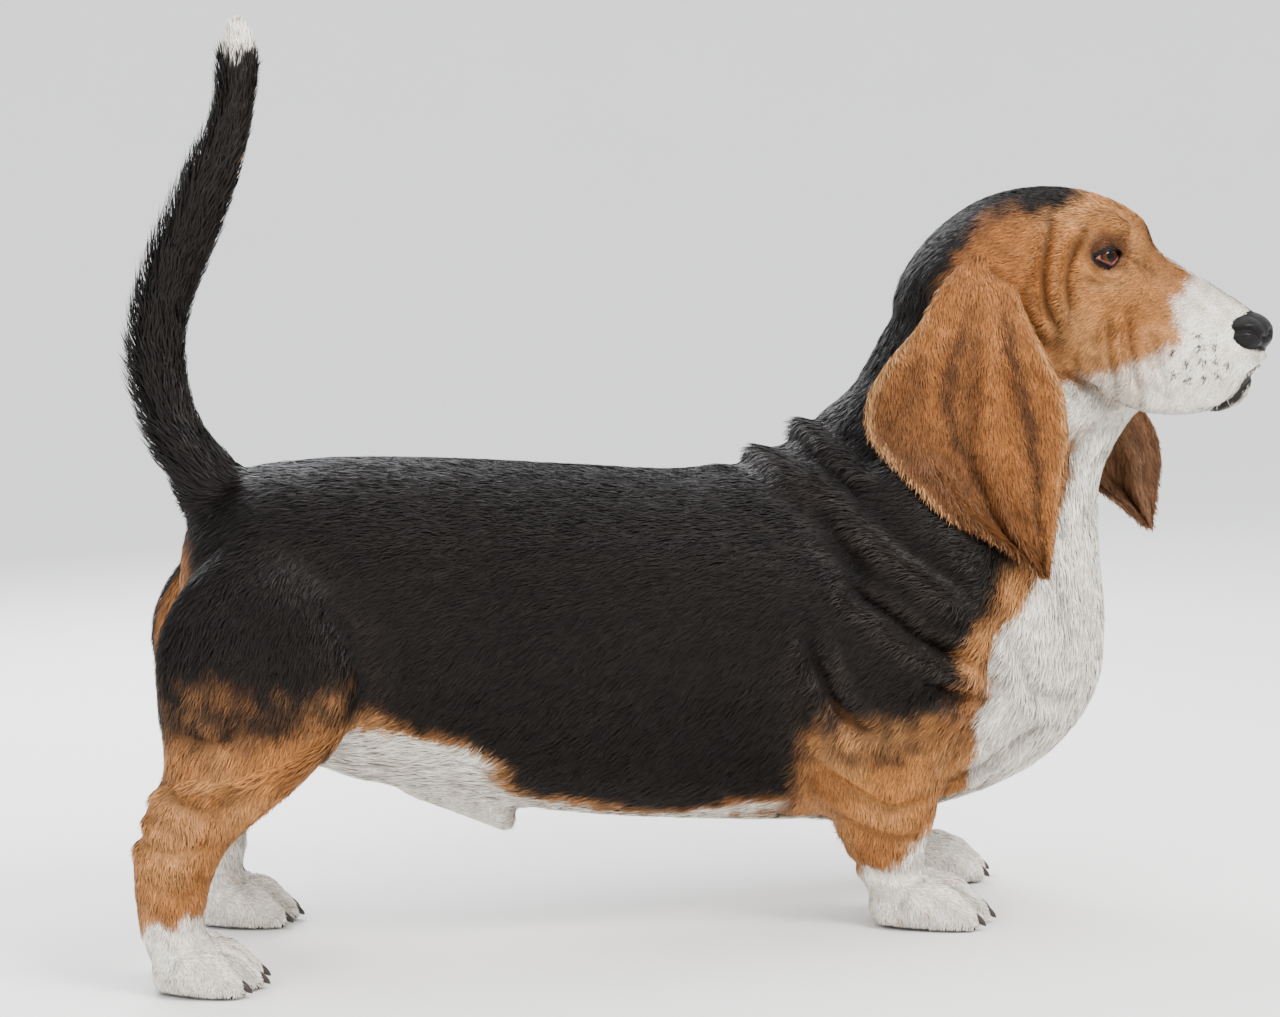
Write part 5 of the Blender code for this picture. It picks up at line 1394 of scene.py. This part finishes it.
def make_ear(name, ear, draped_on, material, coat):
    """An ear's coat, and its skin: thinner than the solids' ear by the coat, its root sunk in the head."""
    sheet = finer(ear_sheet(ear, draped_on), 3)
    down = np.linspace(0, 1, len(sheet))[:, None]
    sheet[..., 1] -= ear.side * EAR_ROOT_SINKS * (1 - ramp(down, 0.0, 0.12))
    obj = from_bmesh(f"{name}_skin", shell(sheet, EAR_THICKNESS - 2 * EAR_COAT), material)
    surface = Surface(obj.data)
    count = len(surface.faces)
    per_area = np.full(count, tufts_to_cover(*ON_EAR[:2]))
    wrap = ((0.25, 0.07 * ear.side, 0.37), (0, 0, 1), (1, 0, 0))
    look, every = (ear_colours, ear_lie, ear_form), np.ones(count, bool)
    piece = grow_coat(f"coat_{name}", surface, every, per_area, look, wrap, coat, 200 + ear.side)
    set_colour(obj.data, ear_colours(surface.co, surface.normal))
    return [(piece, "tan_coat", ()), (settled(obj), "tan_coat", (name,))]


def add_nose(into):
    """The nose leather, in place at the end of the muzzle."""
    ellipsoid(into, NOSE_CENTRE, (0.0206, 0.0200, 0.0164))
    ellipsoid(into, (0.2385, 0, 0.4105), (0.0120, 0.0078, 0.0090))
    for side in (1, -1):
        ellipsoid(into, (0.2295, 0.0150 * side, 0.4205), (0.0175, 0.0112, 0.0138))


def make_nose(material):
    """The nose leather, with nostrils, their slits and the groove between them."""
    obj = fused("nose_leather", add_nose, NOSE_VOXEL)
    skin = Skin(obj.data)
    skin.smooth(3)
    ahead, across, height = in_head_axes(skin.co).T
    front = ramp(ahead, 0.225, 0.238)
    flat = np.stack([np.abs(across), height], axis=1)
    hole = bell(np.linalg.norm(flat - [0.0085, 0.4205], axis=1), 0.0032)
    slit, _ = distance_to_path(flat, (0.0085, 0.4200, 0.0150, 0.4160, 0.0220, 0.4190, 0.0255, 0.4245))
    depth = 0.0055 * hole * front
    depth += 0.0024 * bell(slit, 0.0016) * ramp(np.abs(across), 0.007, 0.011)
    depth += 0.0014 * (bell(across, 0.0014) * ramp(-height, -0.430, -0.424)) * front
    skin.push(-depth)
    skin.smooth(1)
    skin.write()
    obj.data.shade_smooth()
    obj.data.materials.append(material)
    return settled(obj)


# Eyes, lids, whiskers and claws


def make_eye(name, side, material):
    """An eyeball with a raised cornea: pupil, fibred iris, and white shading to red at the lids."""
    rings, spokes = 72, 96
    tilt = np.concatenate([[0.0], np.pi * (np.arange(1, rings) / rings) ** 1.25, [np.pi]])
    tilt, turn = np.meshgrid(tilt, np.arange(spokes) * 2 * np.pi / spokes, indexing="ij")
    iris = math.asin(IRIS_RADIUS / EYE_RADIUS)
    cornea = 0.0007 * (1 - ramp(tilt, 0.3 * iris, 1.25 * iris))
    radius = EYE_RADIUS + cornea - 0.0003 * (1 - ramp(tilt, 0.0, 1.5))
    out, ring = np.cos(tilt) * radius, np.sin(tilt) * radius
    ahead, rise = np.cos(turn) * ring, np.sin(turn) * ring
    fibres = 0.5 + 0.25 * np.sin(turn * 23) + 0.25 * np.sin(turn * 41 + 1.3)
    brown = np.array([0.050, 0.018, 0.006]) * (0.45 + 1.1 * fibres)[..., None]
    brown *= (1.35 - 0.9 * ramp(tilt, 0.55 * iris, iris))[..., None]
    red = ramp(-rise, 0.0020, 0.0062) + 0.6 * ramp(np.abs(ahead), 0.006, 0.010)
    colour = np.full((*tilt.shape, 3), (0.30, 0.21, 0.16))
    go_over(colour, (0.17, 0.034, 0.025), np.clip(red, 0, 1))
    go_over(colour, brown, 1 - ramp(tilt, 0.93 * iris, 1.06 * iris))
    go_over(colour, PUPIL, 1 - ramp(tilt, 0.42 * iris, 0.48 * iris))
    co = by_eye(side, out, ahead, rise).reshape(-1, 3)
    return mesh_from(name, co, ring_triangles(rings + 1, spokes), material, colour.reshape(-1, 3))


def lid_edge(side, upper, lift, inset=0.0):
    """The edge of a lid, from the front corner to the rear, lifted off the eyeball's surface."""
    ahead = np.linspace(1, -1, 41) * LID_HALF_LENGTH
    top, bottom = lid_gap(ahead)
    rise = ahead * LID_SLANT + (top - inset if upper else bottom + inset)
    out = np.sqrt(np.maximum((EYE_RADIUS + lift) ** 2 - ahead**2 - rise**2, 0))
    return by_eye(side, out, ahead, rise)


def make_lid_rims(name, side, material):
    """The dark bare edges of both lids."""
    parts = []
    for upper, radius in ((True, 0.00090), (False, 0.00080)):
        path = lid_edge(side, upper, LID * 0.55)
        taper = np.sin(np.linspace(0.12, np.pi - 0.12, len(path))) ** 0.5
        parts.append(tube(path, taper * radius, 10))
    return mesh_from(name, *joined(parts), material)


def make_haw(name, side, material):
    """The red inside of the drooping lower lid."""
    path = lid_edge(side, False, 0.0003, inset=0.0012)[3:-3]
    taper = np.sin(np.linspace(0.2, np.pi - 0.2, len(path))) ** 0.7
    return mesh_from(name, *tube(path, taper * 0.0010, 10), material)


def make_whiskers(flesh, material):
    """Whiskers of the upper lip, brow and chin."""
    rng = np.random.default_rng(31)
    parts, tones = [], []

    def grow(ahead, height, side, length, way, tone):
        hit = side_ray(flesh, ahead, height, side, 0.2, 0.3)[1]
        if hit is None:
            return
        t = np.linspace(0, 1, 9)[:, None]
        way = HEAD_AXES @ (np.array(way) * [1, side, 1] + 0.12 * rng.normal(size=3))
        way /= np.linalg.norm(way)
        droop = np.array([0, 0, -0.25 * length]) * t**2
        path = np.array(hit) - way * 0.001 + way * t * length + droop
        parts.append(tube(path, 0.00020 * (1 - t[:, 0]) ** 0.7 + 0.00003, 4))
        tones.append(np.repeat([tone], len(parts[-1][0]), axis=0))

    for side in (1, -1):
        for row, height in enumerate((0.414, 0.405, 0.396, 0.388)):
            for i in range(5):
                ahead = 0.176 + 0.0095 * i + 0.003 * row + 0.0015 * rng.normal()
                length = rng.uniform(0.028, 0.050) * (1 - 0.10 * i)
                tone = (0.62, 0.58, 0.52) if rng.uniform() < 0.85 else (0.06, 0.05, 0.04)
                grow(ahead, height + 0.001 * rng.normal(), side, length, (-0.28, 0.92, -0.12), tone)
        for i in range(3):
            length = rng.uniform(0.012, 0.020)
            grow(0.122 + 0.008 * i, 0.503, side, length, (0.25, 0.90, 0.30), (0.10, 0.05, 0.03))
        for i in range(4):
            length = rng.uniform(0.010, 0.016)
            grow(0.192 + 0.008 * i, 0.374, side, length, (0.2, 0.45, -0.7), (0.60, 0.56, 0.50))
    return mesh_from("whiskers", *joined(parts), material, np.concatenate(tones))


def make_claws(material):
    """Sixteen blunt dark claws, each curving down from its toe."""
    t = np.linspace(0, 1, 12)
    radii = 0.0031 * (1 - t**2.2) ** 0.6 + 0.0005
    parts = []
    for paw in PAWS:
        ahead = paw.length * 0.56 - 0.008 + 0.0165 * t
        path = vectors(ahead, 0.0, paw.height * (0.38 - 0.06 * t - 0.22 * t**2))
        co, faces = tube(path, radii, 12, flatten=1.25, flat_way=(0, 1, 0))
        parts += [(moved(co, toe_place(paw, *toe)), faces) for toe in TOES]
    co, faces = joined(parts)
    co[:, 2] = np.maximum(co[:, 2], FLOOR + 0.0003)
    return mesh_from("claws", co, faces, material)


# Materials


def node(tree, kind, **settings):
    """A shader node, its inputs or its own settings set by name."""
    made = tree.nodes.new("ShaderNode" + kind)
    for key, value in settings.items():
        if key in made.inputs:
            made.inputs[key].default_value = value
        else:
            setattr(made, key, value)
    return made


def noise(tree, scale, detail, stretch=(1, 1, 1)):
    """Noise in the part's own metres."""
    mapping = node(tree, "Mapping", Scale=stretch)
    tree.links.new(node(tree, "TexCoord").outputs["Object"], mapping.inputs["Vector"])
    made = node(tree, "TexNoise", Scale=scale, Detail=detail)
    tree.links.new(mapping.outputs["Vector"], made.inputs["Vector"])
    return made.outputs["Fac"]


def textured(name, roughness, grain, low, high, colour=None, **sockets):
    """A material of one colour, or of the points' own, that noise varies between two factors."""
    material = bpy.data.materials.new(name)
    material.use_nodes = True
    tree = material.node_tree
    shader = tree.nodes["Principled BSDF"]
    for socket, value in {"Roughness": roughness, **sockets}.items():
        shader.inputs[socket.replace("_", " ")].default_value = value
    if colour:
        base = node(tree, "RGB")
        base.outputs["Color"].default_value = (*colour, 1)
    else:
        base = node(tree, "Attribute", attribute_name="coat")
    span = node(tree, "MapRange", **{"To Min": low, "To Max": high})
    tree.links.new(noise(tree, *grain), span.inputs["Value"])
    factor = node(tree, "VectorMath", operation="SCALE")
    tree.links.new(base.outputs["Color"], factor.inputs[0])
    tree.links.new(span.outputs["Result"], factor.inputs["Scale"])
    tree.links.new(factor.outputs["Vector"], shader.inputs["Base Color"])
    return material


def bump(material, height, distance):
    """Raises a material's surface by a texture."""
    tree = material.node_tree
    made = node(tree, "Bump", Strength=1.0, Distance=distance)
    tree.links.new(height, made.inputs["Height"])
    tree.links.new(made.outputs["Normal"], tree.nodes["Principled BSDF"].inputs["Normal"])


def coat_material():
    return textured("coat", 0.50, (160, 3), 0.82, 1.18, Specular_IOR_Level=0.24)


def skin_material():
    """Under the coat: the same colours, darker, with the grain of short hair."""
    material = textured("skin", 0.62, (600, 4), 0.45, 0.95, Specular_IOR_Level=0.25)
    bump(material, noise(material.node_tree, 1400, 3), 0.0006)
    return material


def leather_material(name, colour, pebble, roughness):
    """Bare wet skin, pebbled at the size given in pebbles to the metre."""
    wet = {"Specular_IOR_Level": 0.2, "Coat_Weight": 0.12, "Coat_Roughness": 0.14}
    material = textured(name, roughness, (pebble / 4, 4), 0.6, 1.5, colour, **wet)
    tree = material.node_tree
    cells = node(tree, "TexVoronoi", Scale=pebble)
    tree.links.new(node(tree, "TexCoord").outputs["Object"], cells.inputs["Vector"])
    flip = node(tree, "Math", operation="SUBTRACT")
    flip.inputs[0].default_value = 1.0
    tree.links.new(cells.outputs["Distance"], flip.inputs[1])
    bump(material, flip.outputs[0], 0.0005)
    return material


def eye_material():
    return textured("eye", 0.05, (2500, 3), 0.75, 1.25, Specular_IOR_Level=0.28)


def claw_material():
    streaks = (900, 3, (0.25, 1.0, 0.6))
    material = textured("claw", 0.34, streaks, 0.4, 1.9, (0.034, 0.025, 0.020), Coat_Weight=0.2)
    bump(material, noise(material.node_tree, *streaks), 0.0003)
    return material


def whisker_material():
    return textured("whisker", 0.35, (300, 2), 0.8, 1.2)


def floor_material():
    return textured("floor", 0.75, (3, 2), 0.985, 1.015, (0.80, 0.79, 0.77), Specular_IOR_Level=0.2)


# Camera and stage


def place_camera():
    """The photo's view: from the animal's right, a little from behind, above and tilted."""
    camera = new_object("camera", bpy.data.cameras.new("camera"))
    camera.data.lens = CAMERA_LENS
    yaw, down, roll = CAMERA_YAW, CAMERA_DOWN, CAMERA_ROLL
    ahead = Vector((math.sin(yaw) * math.cos(down), math.cos(yaw) * math.cos(down), -math.sin(down)))
    right = Vector((math.cos(yaw), -math.sin(yaw), 0))
    above = right.cross(ahead)
    across = right * math.cos(roll) - above * math.sin(roll)
    top = above * math.cos(roll) + right * math.sin(roll)
    matrix = Matrix((across, top, -ahead)).transposed().to_4x4()
    place = (-CAMERA_DISTANCE * math.sin(yaw) - MIDDLE_OF_LENGTH, -CAMERA_DISTANCE * math.cos(yaw))
    matrix.translation = (*place, CAMERA_HEIGHT)
    camera.matrix_world = matrix
    bpy.context.scene.camera = camera


def area_light(name, place, aim_height, size, power, colour):
    data = bpy.data.lights.new(name, "AREA")
    data.size = size
    data.energy = power
    data.color = colour
    light = new_object(name, data)
    light.location = place
    aim = Vector((0.0, 0.0, aim_height))
    light.rotation_euler = (aim - Vector(place)).to_track_quat("-Z", "Y").to_euler()


def make_floor():
    """A pale floor that curves up out of sight."""
    flat, bend, spokes = 3.2, 3.0, 128
    curve = [(bend * math.sin(a), bend * (1 - math.cos(a))) for a in np.radians(np.arange(3, 88, 3))]
    profile = [(0.02, 0.0), (flat, 0.0), *((flat + out, up) for out, up in curve)]
    turn = np.arange(spokes) * 2 * np.pi / spokes
    circle = vectors(np.cos(turn), np.sin(turn), 0.0)
    work = bmesh.new()
    rings = [[work.verts.new(p) for p in r * circle + [0, 0, h + FLOOR - 0.0002]] for r, h in profile]
    work.faces.new(rings[0])
    bridge(work, rings)
    return from_bmesh("floor", work, floor_material())


def set_stage():
    """The floor, and soft light from above, in front and behind."""
    make_floor()
    world = bpy.data.worlds.new("world")
    world.use_nodes = True
    background = world.node_tree.nodes["Background"]
    background.inputs["Color"].default_value = (0.92, 0.95, 1.0, 1)
    background.inputs["Strength"].default_value = 1.25
    bpy.context.scene.world = world
    bpy.context.scene.view_settings.look = "AgX - Medium High Contrast"
    for name, light in LIGHTS.items():
        area_light(name, *light)


# Putting it together


def flesh_nodes():
    """The solids that the one skin stands for."""
    names = ["head", "neck", "torso", "tail"]
    for end in ("fore", "hind"):
        for hand in ("right", "left"):
            names += [f"{end}leg_upper_{hand}", f"{end}leg_lower_{hand}", f"{end}paw_{hand}"]
    return names


def make_pieces():
    """Every piece of the animal, with its slot and the solids that it takes the place of."""
    coat, skin_look = coat_material(), skin_material()
    wet = leather_material("nose_leather", (0.007, 0.006, 0.006), 1100, 0.33)
    rim = leather_material("lid_rim", (0.016, 0.010, 0.009), 1800, 0.28)
    red = leather_material("haw", (0.17, 0.046, 0.036), 900, 0.30)
    body, skin = make_flesh()
    draped_on = BVHTree.FromObject(body, bpy.context.evaluated_depsgraph_get())
    sink_under_coat(body, skin)
    made = grow_body_coat(body, coat)
    for name, ear in EARS.items():
        made += make_ear(name, ear, draped_on, skin_look, coat)
    made.append((finish_skin(body, skin_look), "black_coat", flesh_nodes()))
    made.append((make_nose(wet), "nose_leather", ("nose",)))
    for hand, side in (("right", -1), ("left", 1)):
        made.append((make_eye(f"eyeball_{hand}", side, eye_material()), "eye", (f"eye_{hand}",)))
        made.append((make_lid_rims(f"lid_rims_{hand}", side, rim), "nose_leather", ()))
        made.append((make_haw(f"haw_{hand}", side, red), "nose_leather", ()))
    made.append((make_whiskers(draped_on, whisker_material()), "white_coat", ()))
    made.append((make_claws(claw_material()), "nose_leather", ()))
    return made


for piece, slot, nodes in make_pieces():
    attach(piece, "root")
    if nodes:
        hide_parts(*nodes)
place_camera()
set_stage()
